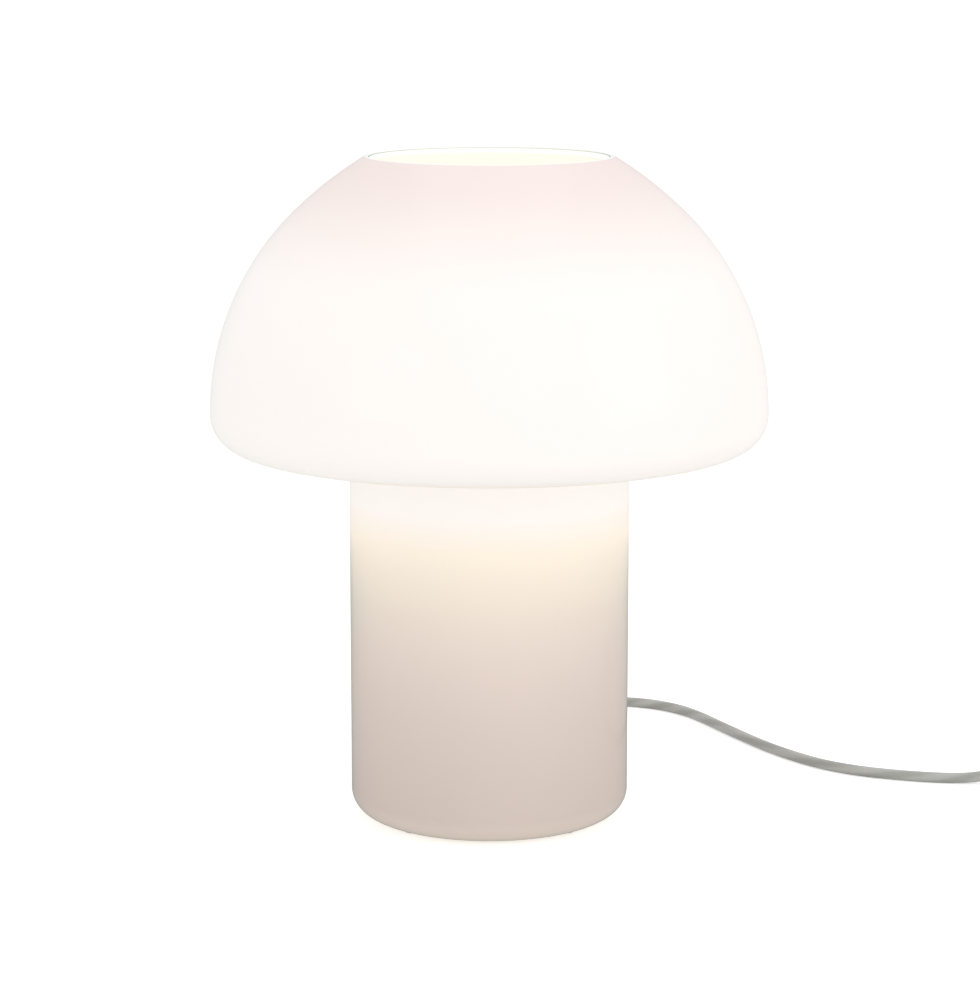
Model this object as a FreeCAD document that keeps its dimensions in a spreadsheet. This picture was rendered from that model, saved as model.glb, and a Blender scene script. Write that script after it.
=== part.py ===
import FreeCAD, Part
import math
import os
from types import SimpleNamespace

import Sketcher

# A mushroom table lamp of blown opal glass, lit through an open top. Millimetres and degrees, +Z up.
# The origin is the middle of the lamp on the table, and the lead leaves at the back, which is +Y.

V = FreeCAD.Vector
CIRCLE_PATTERN_TURN = 360.0

# name, size, what it is
DRIVING_SIZES = [
    ("lamp_height", 300.0, "table to the top of the glass"),
    ("cap_radius", 125.0, "widest part of the cap"),
    ("cap_turn", 46.0, "angle of the lower arc of the cap, from the widest part up"),
    ("crown_radius", 180.0, "flatter arc of the cap, up to its mouth"),
    ("mouth_radius", 53.0, "clear opening at the top"),
    ("under_turn_radius", 15.0, "arc from the widest part to the underside"),
    ("underside_slope", 10.0, "rise of the underside towards the stem"),
    ("neck_fillet", 12.0, "arc from the underside into the stem"),
    ("stem_radius", 63.0, "outside of the stem"),
    ("glass_wall", 3.0, "wall of the cap and the stem"),
    ("glass_floor", 4.0, "thickness of the glass bottom"),
    ("foot_corner", 11.0, "outside corner at the foot"),
    ("foot_ring", 6.0, "width of the ground ring that the glass stands on"),
    ("recess_height", 8.0, "push-up under the bottom"),
    ("recess_flat", 32.0, "radius of the flat middle of the push-up"),
    ("floor_hole", 4.0, "radius of the hole in the glass bottom"),
    ("pad_height", 1.2, "clear pads under the foot"),
    ("pad_radius", 2.9, "the same"),
    ("pad_count", 4, "the same"),
    ("seal_thickness", 1.5, "rubber washers above and below the glass bottom"),
    ("upper_seal_radius", 27.0, "washer on the glass bottom"),
    ("lower_seal_radius", 15.0, "washer under it"),
    ("washer_radius", 14.0, "steel washer under the lower seal"),
    ("washer_thickness", 1.5, "the same"),
    ("bolt_radius", 3.0, "shank of the clamping bolt"),
    ("bolt_head_height", 4.0, "the same"),
    ("bolt_head_flats", 10.0, "width across its flats"),
    ("plate_radius", 31.0, "steel plate that carries the column"),
    ("plate_thickness", 2.0, "the same"),
    ("column_radius", 14.0, "outside of the column"),
    ("column_wall", 1.25, "the same"),
    ("column_length", 108.0, "the same"),
    ("foot_insert_height", 4.0, "threaded insert in the column's lower end"),
    ("head_thickness", 3.0, "cap on the column's upper end"),
    ("head_plug", 6.0, "length of that cap inside the column"),
    ("head_overhang", 0.6, "how far that cap stands out over the column"),
    ("head_chamfer", 1.0, "bevel round its top"),
    ("nipple_radius", 5.0, "hollow threaded tube that holds the lampholder"),
    ("nipple_bore", 3.6, "the same"),
    ("nipple_grip", 5.0, "length of it in the column's cap"),
    ("nut_thickness", 3.0, "nut on it inside the dome"),
    ("nut_flats", 14.0, "width across its flats"),
    ("dome_foot_radius", 12.0, "lampholder dome where it stands on the column"),
    ("dome_radius", 18.8, "widest part of the dome"),
    ("dome_flare", 9.0, "height over which the dome widens"),
    ("dome_curve", 12.6, "radius of that widening"),
    ("dome_height", 24.0, "the same"),
    ("dome_floor", 3.0, "the same"),
    ("dome_wall", 2.2, "wall at its upper end"),
    ("thread_height", 8.0, "height of the dome inside the skirt"),
    ("thread_depth", 1.7, "how far that part is set in"),
    ("skirt_height", 42.0, "outer sleeve of the lampholder"),
    ("skirt_top_radius", 18.2, "its upper end"),
    ("skirt_wall", 1.6, "the same"),
    ("skirt_lip", 2.4, "height of its turned-in lip"),
    ("skirt_round", 2.4, "radius at its upper edge"),
    ("skirt_round_height", 1.2, "height of that rounding"),
    ("skirt_round_depth", 0.8, "how far the edge is drawn in"),
    ("insert_height", 7.0, "terminal disc of the lampholder"),
    ("insert_seat", 19.3, "height of the disc's seat in the dome"),
    ("insert_radius", 14.7, "the same"),
    ("insert_ledge", 1.4, "width of its seat"),
    ("terminal_spread", 8.0, "middle of each terminal block from the axis"),
    ("terminal_width", 5.0, "the same"),
    ("terminal_depth", 7.0, "the same"),
    ("terminal_height", 6.0, "the same"),
    ("terminal_screw_radius", 1.4, "the same"),
    ("terminal_screw_length", 5.0, "the same"),
    ("shell_bore", 13.35, "threaded brass shell, mean inside radius"),
    ("shell_wall", 0.5, "the same"),
    ("shell_height", 30.0, "the same"),
    ("shell_floor_bore", 9.5, "hole in the bottom of the shell"),
    ("contact_strip", 0.5, "thickness of the sprung strip under the bulb"),
    ("contact_width", 5.0, "its width"),
    ("contact_height", 7.0, "its top over the terminal disc"),
    ("contact_reach", 3.0, "half of its flat top"),
    ("contact_foot", 4.5, "length of its foot on the disc"),
    ("bulb_radius", 30.0, "globe of the bulb"),
    ("bulb_neck", 12.9, "neck of the bulb"),
    ("bulb_neck_arc", 40.0, "concave arc from the neck to the globe"),
    ("bulb_neck_length", 1.65, "straight neck between the screw cap and the arc"),
    ("bulb_glass_wall", 1.0, "the same"),
    ("bulb_cap_radius", 13.15, "mean outside radius of the screw cap"),
    ("bulb_cap_wall", 0.3, "the same"),
    ("bulb_cap_foot", 5.0, "its lower end over the tip"),
    ("bulb_cap_top", 26.5, "its upper end over the tip"),
    ("bulb_contact_radius", 4.8, "solder disc at the tip"),
    ("bulb_contact_height", 1.2, "the same"),
    ("bulb_insulator_radius", 11.5, "dark glass between tip and screw cap"),
    ("cord_radius", 2.5, "round two-core lead"),
    ("core_radius", 1.1, "each of its cores"),
    ("core_spread", 1.25, "half the distance between the cores in the lead"),
    ("core_bend", 2.4, "bend of a core inside the dome"),
    ("cord_height", 27.0, "hole in the glass over the table"),
    ("cord_hole", 4.3, "its radius"),
    ("cord_end_over_nipple", 0.8, "where the outer sheath ends in the dome"),
    ("sleeve_flange", 7.0, "radius of the cord sleeve's flange"),
    ("sleeve_flange_outside", 2.3, "its thickness outside the glass"),
    ("sleeve_flange_inside", 2.1, "and inside"),
    ("sleeve_root", 4.7, "bend relief where it leaves the flange"),
    ("sleeve_tip", 3.4, "and at its end"),
    ("sleeve_length", 27.0, "the same"),
    ("grommet_hole", 4.4, "hole in the column"),
    ("grommet_flange", 5.6, "the same"),
    ("grommet_lip", 1.3, "thickness of its lips"),
    ("clamp_length", 10.0, "cord clamp along the cord"),
    ("clamp_half_width", 11.0, "and across it"),
    ("clamp_start", 17.5, "its near end from the axis"),
    ("clamp_gap", 0.3, "half the gap between its halves"),
    ("clamp_bar_wall", 2.0, "bar over the cord"),
    ("clamp_screw_spread", 7.5, "screws from the cord"),
    ("clamp_screw_radius", 1.4, "shank"),
    ("clamp_head_radius", 2.6, "the same"),
    ("clamp_head_height", 1.8, "the same"),
    ("clamp_screw_bite", 1.5, "depth of the screws in the plate"),
    ("switch_x", 286.0, "middle of the inline switch"),
    ("switch_y", 44.0, "the same"),
    ("switch_length", 60.0, "the same"),
    ("switch_width", 24.0, "the same"),
    ("switch_end_width", 11.0, "width of its ends"),
    ("switch_shoulder", 8.0, "length over which it narrows"),
    ("switch_base_height", 7.5, "lower shell"),
    ("switch_cover_height", 8.0, "upper shell"),
    ("switch_wall", 1.7, "the same"),
    ("switch_cavity", 42.0, "length of its inside"),
    ("switch_cavity_corner", 1.5, "rounding of its corners"),
    ("switch_edge", 2.2, "rounding of its upper edge"),
    ("switch_bottom_edge", 0.8, "rounding of its lower edge"),
    ("switch_grip", 6.0, "length of lead held in each end"),
    ("rocker_reach", 8.4, "arc of the rocker's ends about its axle"),
    ("rocker_width", 10.4, "the same"),
    ("rocker_axis", 11.6, "axle over the table"),
    ("rocker_top_angle", 32.0, "angle of its upper corners about the axle"),
    ("rocker_foot_angle", 25.0, "and of its lower ones"),
    ("rocker_tilt", 12.0, "tilt to either side"),
    ("axle_radius", 1.5, "stub axles of the rocker"),
    ("axle_length", 1.6, "the same"),
    ("bearing_wall", 2.2, "ribs that hold the stub axles"),
    ("bearing_length", 7.0, "the same"),
    ("bridge_reach", 6.5, "half length of the contact strip on the rocker"),
    ("bridge_width", 4.0, "the same"),
    ("bridge_thickness", 0.6, "the same"),
    ("post_start", 4.4, "fixed contacts, near side from the middle"),
    ("post_length", 3.0, "the same"),
    ("switch_screw_x", 24.5, "case screws"),
    ("switch_screw_y", 6.6, "the same"),
    ("switch_screw_radius", 1.3, "the same"),
    ("switch_screw_length", 10.0, "shank over the head"),
    ("switch_head_radius", 2.2, "the same"),
    ("switch_head_height", 1.8, "the same"),
    ("switch_head_sink", 0.5, "how far the heads sit in from the table side"),
    ("coil_x", 352.0, "middle of the put-away coil"),
    ("coil_y", 95.0, "the same"),
    ("coil_inside", 21.0, "smallest turn, to the middle of the lead"),
    ("coil_pitch", 5.5, "from turn to turn, beside and over each other"),
    ("coil_start_angle", -60.0, "where the lead comes in"),
    ("coil_layer_turns", 3.125, "turns in each of its two layers"),
    ("coil_exit_run", 30.0, "length over which the lead comes down to the plug"),
    ("tie_thickness", 0.5, "strap round the coil"),
    ("tie_width", 10.0, "the same"),
    ("tie_corner", 3.0, "its outer corners"),
    ("plug_width", 35.3, "front of the plug"),
    ("plug_thickness", 13.7, "the same"),
    ("plug_length", 36.0, "moulded body"),
    ("plug_straight", 14.0, "from its front to where it narrows"),
    ("plug_back_width", 13.0, "its back"),
    ("plug_back_thickness", 10.0, "the same"),
    ("plug_corner", 5.0, "rounding of its front outline"),
    ("plug_back_corner", 4.2, "rounding of its back outline"),
    ("tail_length", 24.0, "ribbed bend relief"),
    ("tail_rib", 4.4, "radius of its first rib"),
    ("tail_groove", 3.4, "radius between the ribs"),
    ("tail_ribs", 6, "how many"),
    ("tail_rib_share", 0.6, "how much of each rib and groove is rib"),
    ("tail_root", 1.0, "how far the tail goes into the plug"),
    ("pin_spacing", 18.6, "middle to middle of the pins"),
    ("pin_radius", 2.0, "bare end of each pin"),
    ("pin_core", 1.5, "pin inside its sleeve"),
    ("pin_length", 19.0, "out of the plug"),
    ("pin_bare", 9.0, "its bare end"),
    ("pin_root", 8.0, "inside the plug"),
    ("pin_sleeve_radius", 1.75, "outside of the insulating sleeve"),
    ("fit", 0.05, "clearance of a part that sits in another"),
    ("loose_fit", 0.3, "clearance of a part that moves past another"),
    ("cut_margin", 1.0, "how much longer a cut is than what it goes through"),
]

# The lead's route from the sleeve to the switch, over the table: across, back, up.
# The first point is the sleeve's end, and the last two are set in the switch.
LEAD_ROUTE = [
    (0.0, 114.0, 27.0),
    (0.5, 146.0, 2.5),
    (5.0, 172.0, 2.5),
    (20.0, 190.0, 2.5),
    (44.0, 196.0, 2.5),
    (66.0, 193.0, 2.5),
    (84.0, 187.5, 2.5),
    (98.0, 176.0, 2.5),
    (108.0, 160.0, 2.5),
    (118.0, 138.0, 2.5),
    (140.0, 94.0, 2.5),
    (166.0, 62.0, 2.5),
    (202.0, 47.0, 2.5),
    (230.0, 44.0, 2.5),
]
RISE_TO_SWITCH = 20.0
LINK_DROP_START = 14.0
LINK_LAST_RUN = 20.0


class Size:
    """A size with its number and the sheet formula that gives it."""

    def __init__(self, formula, number):
        self.formula = formula
        self.number = number

    def joined(self, mark, other, number):
        return Size(f"({self.formula} {mark} {other.formula})", number)

    def __add__(self, other):
        other = as_size(other)
        return self.joined("+", other, self.number + other.number)

    def __radd__(self, other):
        return as_size(other) + self

    def __sub__(self, other):
        other = as_size(other)
        return self.joined("-", other, self.number - other.number)

    def __rsub__(self, other):
        return as_size(other) - self

    def __mul__(self, other):
        other = as_size(other)
        return self.joined("*", other, self.number * other.number)

    def __rmul__(self, other):
        return as_size(other) * self

    def __truediv__(self, other):
        other = as_size(other)
        return self.joined("/", other, self.number / other.number)

    def __neg__(self):
        return as_size(0) - self


def as_size(value):
    """Gives a Size as it is, and a plain number as a Size."""
    if isinstance(value, Size):
        return value
    return Size(f"({value})", float(value))


def cosine(angle):
    return Size(f"cos({angle.formula} * 1 deg)", math.cos(math.radians(angle.number)))


def sine(angle):
    return Size(f"sin({angle.formula} * 1 deg)", math.sin(math.radians(angle.number)))


def tangent(angle):
    return Size(f"tan({angle.formula} * 1 deg)", math.tan(math.radians(angle.number)))


def root(square):
    return Size(f"sqrt({square.formula})", math.sqrt(square.number))


def as_number(size):
    return size.number


def past_whole_turns(turns):
    """What a number of turns has over its whole turns."""
    return turns - math.floor(turns.number)


def other_side(hypotenuse, side):
    """The third side of a right-angled triangle."""
    return root(hypotenuse * hypotenuse - side * side)


doc = FreeCAD.newDocument("mushroom_table_lamp")
sheet = doc.addObject("Spreadsheet::Sheet", "Sizes")
for row, (name, value, meaning) in enumerate(DRIVING_SIZES, 1):
    sheet.set(f"A{row}", meaning)
    sheet.set(f"B{row}", str(value))
    sheet.setAlias(f"B{row}", name)
doc.recompute()
s = SimpleNamespace(
    **{name: Size(f"Sizes.{name}", float(getattr(sheet, name))) for name, _, _ in DRIVING_SIZES}
)
pieces = []


def bind(thing, path, value):
    """Sets a property to a size and ties it to the sheet."""
    thing.setExpression(path, as_size(value).formula)


def place(thing, x=0, y=0, z=0, turn=None):
    """Puts a thing at x, y, z, turned by a rotation."""
    if turn is not None:
        thing.Placement = FreeCAD.Placement(V(0, 0, 0), turn)
    for path, value in (("x", x), ("y", y), ("z", z)):
        bind(thing, f"Placement.Base.{path}", value)
    return thing


ALONG_X = FreeCAD.Rotation(V(0, 1, 0), 90)
ALONG_Y = FreeCAD.Rotation(V(1, 0, 0), -90)


def keep(thing, name):
    """Names a finished sub-part and puts it on the list of those that are written."""
    thing.Label = name
    pieces.append(thing)
    return thing


def new_body(name):
    return doc.addObject("PartDesign::Body", f"{name}_body")


def sketch_on(body, plane, offset=None):
    """A sketch on one of the body's own planes, set off along the plane's normal."""
    sketch = body.newObject("Sketcher::SketchObject", f"{body.Name}_sketch")
    origin_plane = next(f for f in body.Origin.OriginFeatures if f.Role == plane)
    sketch.AttachmentSupport = [(origin_plane, "")]
    sketch.MapMode = "FlatFace"
    if offset is not None:
        bind(sketch, "AttachmentOffset.Base.z", offset)
    return sketch


def pin_point(sketch, edge, end, across, up):
    """Ties a point of a sketch to its two sizes."""
    for kind, value, axis in (("DistanceX", across, -2), ("DistanceY", up, -1)):
        value = as_size(value)
        if value.number == 0.0:
            sketch.addConstraint(Sketcher.Constraint("PointOnObject", edge, end, axis))
        else:
            index = sketch.addConstraint(Sketcher.Constraint(kind, -1, 1, edge, end, value.number))
            tie_constraint(sketch, index, value)


def tie_constraint(sketch, index, value):
    name = f"size_{index}"
    sketch.renameConstraint(index, name)
    bind(sketch, f"Constraints.{name}", value)


def arc_edge(start, end, radius, side):
    """The arc of less than a half circle from start to end, with its centre on the left or right."""
    chord = end - start
    half = chord.Length / 2
    across = V(-chord.y, chord.x, 0).normalize()
    if side == "right":
        across = -across
    centre = (start + end) * 0.5 + across * math.sqrt(max(radius * radius - half * half, 0.0))
    angles = [math.atan2(p.y - centre.y, p.x - centre.x) for p in (start, end)]
    if side == "right":
        angles.reverse()
    if angles[1] < angles[0]:
        angles[1] += 2 * math.pi
    return Part.ArcOfCircle(Part.Circle(centre, V(0, 0, 1), radius), *angles)


def draw(sketch, corners):
    """Draws a closed outline. A corner is (across, up), with (radius, side) added where the edge
    that leaves it is an arc."""
    edges = []
    for index, corner in enumerate(corners):
        following = corners[(index + 1) % len(corners)]
        start = V(as_size(corner[0]).number, as_size(corner[1]).number, 0)
        end = V(as_size(following[0]).number, as_size(following[1]).number, 0)
        if len(corner) == 2:
            shape = Part.LineSegment(start, end)
            ends = (1, 2)
        else:
            shape = arc_edge(start, end, as_size(corner[2]).number, corner[3])
            ends = (1, 2) if corner[3] == "left" else (2, 1)
        edges.append((sketch.addGeometry(shape, False), ends))
    for index, (edge, ends) in enumerate(edges):
        following, following_ends = edges[(index + 1) % len(edges)]
        sketch.addConstraint(
            Sketcher.Constraint("Coincident", edge, ends[1], following, following_ends[0])
        )
    for (edge, ends), corner in zip(edges, corners):
        pin_point(sketch, edge, ends[0], corner[0], corner[1])
        if len(corner) > 2:
            radius = as_size(corner[2])
            index = sketch.addConstraint(Sketcher.Constraint("Radius", edge, radius.number))
            tie_constraint(sketch, index, radius)


def draw_circle(sketch, across, up, radius):
    radius = as_size(radius)
    centre = V(as_size(across).number, as_size(up).number, 0)
    edge = sketch.addGeometry(Part.Circle(centre, V(0, 0, 1), radius.number), False)
    pin_point(sketch, edge, 3, across, up)
    index = sketch.addConstraint(Sketcher.Constraint("Radius", edge, radius.number))
    tie_constraint(sketch, index, radius)


def box_corners(left, right, low, high):
    return [(left, low), (right, low), (right, high), (left, high)]


def rounded_corners(half_width, half_height, radius):
    """A rounded box about the middle, as corners for draw."""
    w, h, r = half_width, half_height, radius
    return [
        (r - w, -h),
        (w - r, -h, r, "left"),
        (w, r - h),
        (w, h - r, r, "left"),
        (w - r, h),
        (r - w, h, r, "left"),
        (-w, h - r),
        (-w, r - h, r, "left"),
    ]


def add_feature(body, kind, sketch, name):
    feature = body.newObject(f"PartDesign::{kind}", f"{body.Name}_{name}")
    feature.Profile = sketch
    return feature


def revolve(body, corners, plane="XZ_Plane", axis="V_Axis"):
    """Turns an outline once round an axis of its sketch."""
    sketch = sketch_on(body, plane)
    draw(sketch, corners)
    feature = add_feature(body, "Revolution", sketch, "turned")
    feature.ReferenceAxis = (sketch, [axis])
    feature.Angle = CIRCLE_PATTERN_TURN
    return feature


def turned(name, corners):
    """A sub-part turned about the lamp's axis."""
    body = new_body(name)
    revolve(body, corners)
    return keep(body, name)


def ring(inside, outside, low, high):
    """The outline of a plain ring."""
    return box_corners(inside, outside, low, high)


def extrude(body, corners, plane, length, offset=None, middle=False):
    """Pads an outline along the plane's normal."""
    sketch = sketch_on(body, plane, offset)
    draw(sketch, corners)
    feature = add_feature(body, "Pad", sketch, "pad")
    bind(feature, "Length", length)
    if middle:
        feature.SideType = "Symmetric"
    return feature


def cut_through(body, sketch, length=None, middle=False, flipped=False):
    """Cuts a sketch out of a body, all the way or to a depth."""
    feature = add_feature(body, "Pocket", sketch, "cut")
    if length is None:
        feature.Type = "ThroughAll"
    else:
        bind(feature, "Length", length)
    if middle:
        feature.SideType = "Symmetric"
    feature.Reversed = flipped
    return feature


def cylinder(radius, length, x=0, y=0, z=0, turn=None):
    """A round bar that starts at x, y, z and runs along +Z, or as it is turned."""
    bar = doc.addObject("Part::Cylinder", "bar")
    bind(bar, "Radius", radius)
    bind(bar, "Height", length)
    return place(bar, x, y, z, turn)


def block(x_size, y_size, z_size, x=0, y=0, z=0):
    box = doc.addObject("Part::Box", "block")
    bind(box, "Length", x_size)
    bind(box, "Width", y_size)
    bind(box, "Height", z_size)
    return place(box, x, y, z)


def cut(base, tool):
    result = doc.addObject("Part::Cut", "cut")
    result.Base = base
    result.Tool = tool
    return result


def joined(shapes):
    """One shape of several; those that stand apart stay solids of their own."""
    result = doc.addObject("Part::MultiFuse", "group")
    result.Shapes = shapes
    return result


def tube(inside, outside, length, x=0, y=0, z=0, turn=None):
    return cut(
        cylinder(outside, length, x, y, z, turn),
        cylinder(inside, length, x, y, z, turn),
    )


# The glass: one blown piece, with its push-up, foot, stem, underside, cap and rounded rim.

foot_flat_outside = s.stem_radius - s.foot_corner
foot_flat_inside = foot_flat_outside - s.foot_ring
recess_z = s.pad_height + s.recess_height
floor_z = recess_z + s.glass_floor
recess_run = foot_flat_inside - s.recess_flat
recess_arc = (recess_run * recess_run + s.recess_height * s.recess_height) / (2 * s.recess_height)
inner_recess_arc = recess_arc + s.glass_floor
stem_bore = s.stem_radius - s.glass_wall
inner_corner = stem_bore - foot_flat_outside
valley_z = s.pad_height + s.glass_floor
valley_inside = s.recess_flat + other_side(inner_recess_arc, inner_recess_arc - s.recess_height)

crown_shift = s.crown_radius - s.cap_radius
crown_x = -(crown_shift * cosine(s.cap_turn))
rim_reach = s.crown_radius - s.glass_wall / 2
rim_x = s.mouth_radius + s.glass_wall / 2
rim_rise = other_side(rim_reach, rim_x - crown_x)
rim_across = (rim_x - crown_x) / rim_reach
rim_up = rim_rise / rim_reach
crown_z = s.lamp_height - s.glass_wall / 2 - rim_rise
cap_z = crown_z + crown_shift * sine(s.cap_turn)
rim_z = crown_z + rim_rise

turn_x = s.cap_radius - s.under_turn_radius
under_x = turn_x - s.under_turn_radius * sine(s.underside_slope)
under_z = cap_z - s.under_turn_radius * cosine(s.underside_slope)
neck_x = s.stem_radius + s.neck_fillet
neck_end_x = neck_x + s.neck_fillet * sine(s.underside_slope)
neck_end_z = under_z + (under_x - neck_end_x) * tangent(s.underside_slope)
neck_z = neck_end_z - s.neck_fillet * cosine(s.underside_slope)
inner_turn = s.under_turn_radius - s.glass_wall
inner_neck = s.neck_fillet + s.glass_wall
cap_bore = s.cap_radius - s.glass_wall
crown_bore = s.crown_radius - s.glass_wall
rim_round = s.glass_wall / 2

glass = new_body("glass_body")
revolve(
    glass,
    [
        (s.floor_hole, recess_z),
        (s.recess_flat, recess_z, recess_arc, "right"),
        (foot_flat_inside, s.pad_height),
        (foot_flat_outside, s.pad_height, s.foot_corner, "left"),
        (s.stem_radius, s.pad_height + s.foot_corner),
        (s.stem_radius, neck_z, s.neck_fillet, "right"),
        (neck_end_x, neck_end_z),
        (under_x, under_z, s.under_turn_radius, "left"),
        (s.cap_radius, cap_z, s.cap_radius, "left"),
        (
            s.cap_radius * cosine(s.cap_turn),
            cap_z + s.cap_radius * sine(s.cap_turn),
            s.crown_radius,
            "left",
        ),
        (rim_x + rim_round * rim_across, rim_z + rim_round * rim_up, rim_round, "left"),
        (rim_x - rim_round * rim_up, rim_z + rim_round * rim_across, rim_round, "left"),
        (rim_x - rim_round * rim_across, rim_z - rim_round * rim_up, crown_bore, "right"),
        (
            cap_bore * cosine(s.cap_turn),
            cap_z + cap_bore * sine(s.cap_turn),
            cap_bore,
            "right",
        ),
        (cap_bore, cap_z, inner_turn, "right"),
        (
            turn_x - inner_turn * sine(s.underside_slope),
            cap_z - inner_turn * cosine(s.underside_slope),
        ),
        (
            neck_x + inner_neck * sine(s.underside_slope),
            neck_z + inner_neck * cosine(s.underside_slope),
            inner_neck,
            "left",
        ),
        (stem_bore, neck_z),
        (stem_bore, valley_z + inner_corner, inner_corner, "right"),
        (foot_flat_outside, valley_z),
        (valley_inside, valley_z, inner_recess_arc, "left"),
        (s.recess_flat, floor_z),
        (s.floor_hole, floor_z),
    ],
)
cord_hole_sketch = sketch_on(glass, "XZ_Plane")
draw_circle(cord_hole_sketch, 0, s.cord_height, s.cord_hole)
cut_through(glass, cord_hole_sketch)
keep(glass, "glass_body")

# What clamps the glass bottom, from the pads up to the plate that carries the column.

pad_circle = (foot_flat_inside + foot_flat_outside) / 2
pad_step = CIRCLE_PATTERN_TURN / s.pad_count.number
pads = [
    cylinder(
        s.pad_radius,
        s.pad_height,
        pad_circle * cosine(as_size(pad_step * (index + 0.5))),
        pad_circle * sine(as_size(pad_step * (index + 0.5))),
    )
    for index in range(round(s.pad_count.number))
]
keep(joined(pads), "foot_pads")

bolt_hole = s.bolt_radius + s.fit
upper_seal_z = floor_z + s.seal_thickness
plate_z = upper_seal_z + s.plate_thickness
lower_seal_z = recess_z - s.seal_thickness
washer_z = lower_seal_z - s.washer_thickness
turned("lower_seal", ring(bolt_hole, s.lower_seal_radius, lower_seal_z, recess_z))
turned("upper_seal", ring(bolt_hole, s.upper_seal_radius, floor_z, upper_seal_z))
turned("clamp_washer", ring(bolt_hole, s.washer_radius, washer_z, lower_seal_z))


def hexagon(flats):
    """The corners of a hexagon about the middle, two of them on the Y axis."""
    long = flats / root(as_size(3))
    half = flats / 2
    return [
        (0, -long),
        (half, -long / 2),
        (half, long / 2),
        (0, long),
        (-half, long / 2),
        (-half, -long / 2),
    ]


bolt = new_body("clamp_bolt")
extrude(bolt, hexagon(s.bolt_head_flats), "XY_Plane", s.bolt_head_height, washer_z - s.bolt_head_height)
bolt_top = plate_z + s.foot_insert_height - s.fit
shank = sketch_on(bolt, "XY_Plane", washer_z - s.bolt_head_height / 2)
draw_circle(shank, 0, 0, s.bolt_radius)
bind(add_feature(bolt, "Pad", shank, "shank"), "Length", bolt_top - washer_z + s.bolt_head_height / 2)
keep(bolt, "clamp_bolt")

clamp_screw_y = s.clamp_start + s.clamp_length / 2
clamp_screw_hole = s.clamp_screw_radius + s.fit
plate = new_body("base_plate")
revolve(plate, ring(bolt_hole, s.plate_radius, upper_seal_z, plate_z))
plate_holes = sketch_on(plate, "XY_Plane", plate_z)
for side in (-1, 1):
    draw_circle(plate_holes, s.clamp_screw_spread * side, clamp_screw_y, clamp_screw_hole)
cut_through(plate, plate_holes, s.plate_thickness)
keep(plate, "base_plate")

# The column, its insert and cap, and the way in for the lead.

column_bore = s.column_radius - s.column_wall
column_top = plate_z + s.column_length
holder_z = column_top + s.head_thickness
turned("column_foot", ring(bolt_hole, column_bore - s.fit, plate_z, plate_z + s.foot_insert_height))

column = new_body("column_tube")
revolve(column, ring(column_bore, s.column_radius, plate_z, column_top))
column_hole = sketch_on(column, "XZ_Plane")
draw_circle(column_hole, 0, s.cord_height, s.grommet_hole + s.fit)
cut_through(column, column_hole)
keep(column, "column_tube")

turned(
    "column_head",
    [
        (s.nipple_radius + s.fit, column_top - s.head_plug),
        (column_bore - s.fit, column_top - s.head_plug),
        (column_bore - s.fit, column_top),
        (s.column_radius + s.head_overhang, column_top),
        (s.column_radius + s.head_overhang, holder_z - s.head_chamfer),
        (s.column_radius + s.head_overhang - s.head_chamfer, holder_z),
        (s.nipple_radius + s.fit, holder_z),
    ],
)

cord_bore = s.cord_radius + s.fit
grommet_start = column_bore - s.grommet_lip
grommet_length = s.column_wall + 2 * s.grommet_lip


def fitted_in_wall(blank, inside, outside, neck, low, height):
    """Cuts the place of a round wall out of a blank, all but its neck."""
    wall = tube(inside - s.fit, outside + s.fit, height, 0, 0, low)
    return cut(blank, cut(wall, neck))


grommet_blank = cylinder(s.grommet_flange, grommet_length, 0, grommet_start, s.cord_height, ALONG_Y)
grommet_neck = cylinder(s.grommet_hole, grommet_length, 0, grommet_start, s.cord_height, ALONG_Y)
grommet_bore = cylinder(cord_bore, grommet_length, 0, grommet_start, s.cord_height, ALONG_Y)
grommet_whole = fitted_in_wall(
    grommet_blank,
    column_bore,
    s.column_radius,
    grommet_neck,
    s.cord_height - s.grommet_flange,
    s.grommet_flange * 2,
)
keep(cut(grommet_whole, grommet_bore), "column_grommet")

# The cord sleeve, a grommet and bend relief in one, snapped in the hole at the back of the stem.

sleeve_inside = stem_bore - s.sleeve_flange_inside
sleeve_outside = s.stem_radius + s.sleeve_flange_outside
sleeve_end = sleeve_outside + s.sleeve_length
sleeve_blank = new_body("sleeve_blank")
revolve(
    sleeve_blank,
    [
        (cord_bore, 0),
        (s.sleeve_flange, 0),
        (s.sleeve_flange, sleeve_outside - sleeve_inside),
        (s.sleeve_root, sleeve_outside - sleeve_inside),
        (s.sleeve_tip, sleeve_end - sleeve_inside),
        (cord_bore, sleeve_end - sleeve_inside),
    ],
)
place(sleeve_blank, 0, sleeve_inside, s.cord_height, ALONG_Y)
sleeve_neck = cylinder(
    s.cord_hole - s.fit, sleeve_outside - sleeve_inside, 0, sleeve_inside, s.cord_height, ALONG_Y
)
keep(
    fitted_in_wall(
        sleeve_blank,
        stem_bore,
        s.stem_radius,
        sleeve_neck,
        s.cord_height - s.sleeve_flange,
        s.sleeve_flange * 2,
    ),
    "cord_sleeve",
)

# The two-part cord clamp on the plate.

groove_length = s.clamp_length
bar_low = s.cord_height + s.clamp_gap
bar_top = s.cord_height + s.cord_radius + s.clamp_bar_wall
block_top = s.cord_height - s.clamp_gap


def clamp_half(name, low, high):
    """One half of the clamp, with its half of the groove and its screw holes."""
    half = block(
        2 * s.clamp_half_width, s.clamp_length, high - low, -s.clamp_half_width, s.clamp_start, low
    )
    groove = cylinder(cord_bore, groove_length, 0, s.clamp_start, s.cord_height, ALONG_Y)
    holes = [
        cylinder(clamp_screw_hole, high - low, s.clamp_screw_spread * side, clamp_screw_y, low)
        for side in (-1, 1)
    ]
    return keep(cut(half, joined([groove, *holes])), name)


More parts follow.
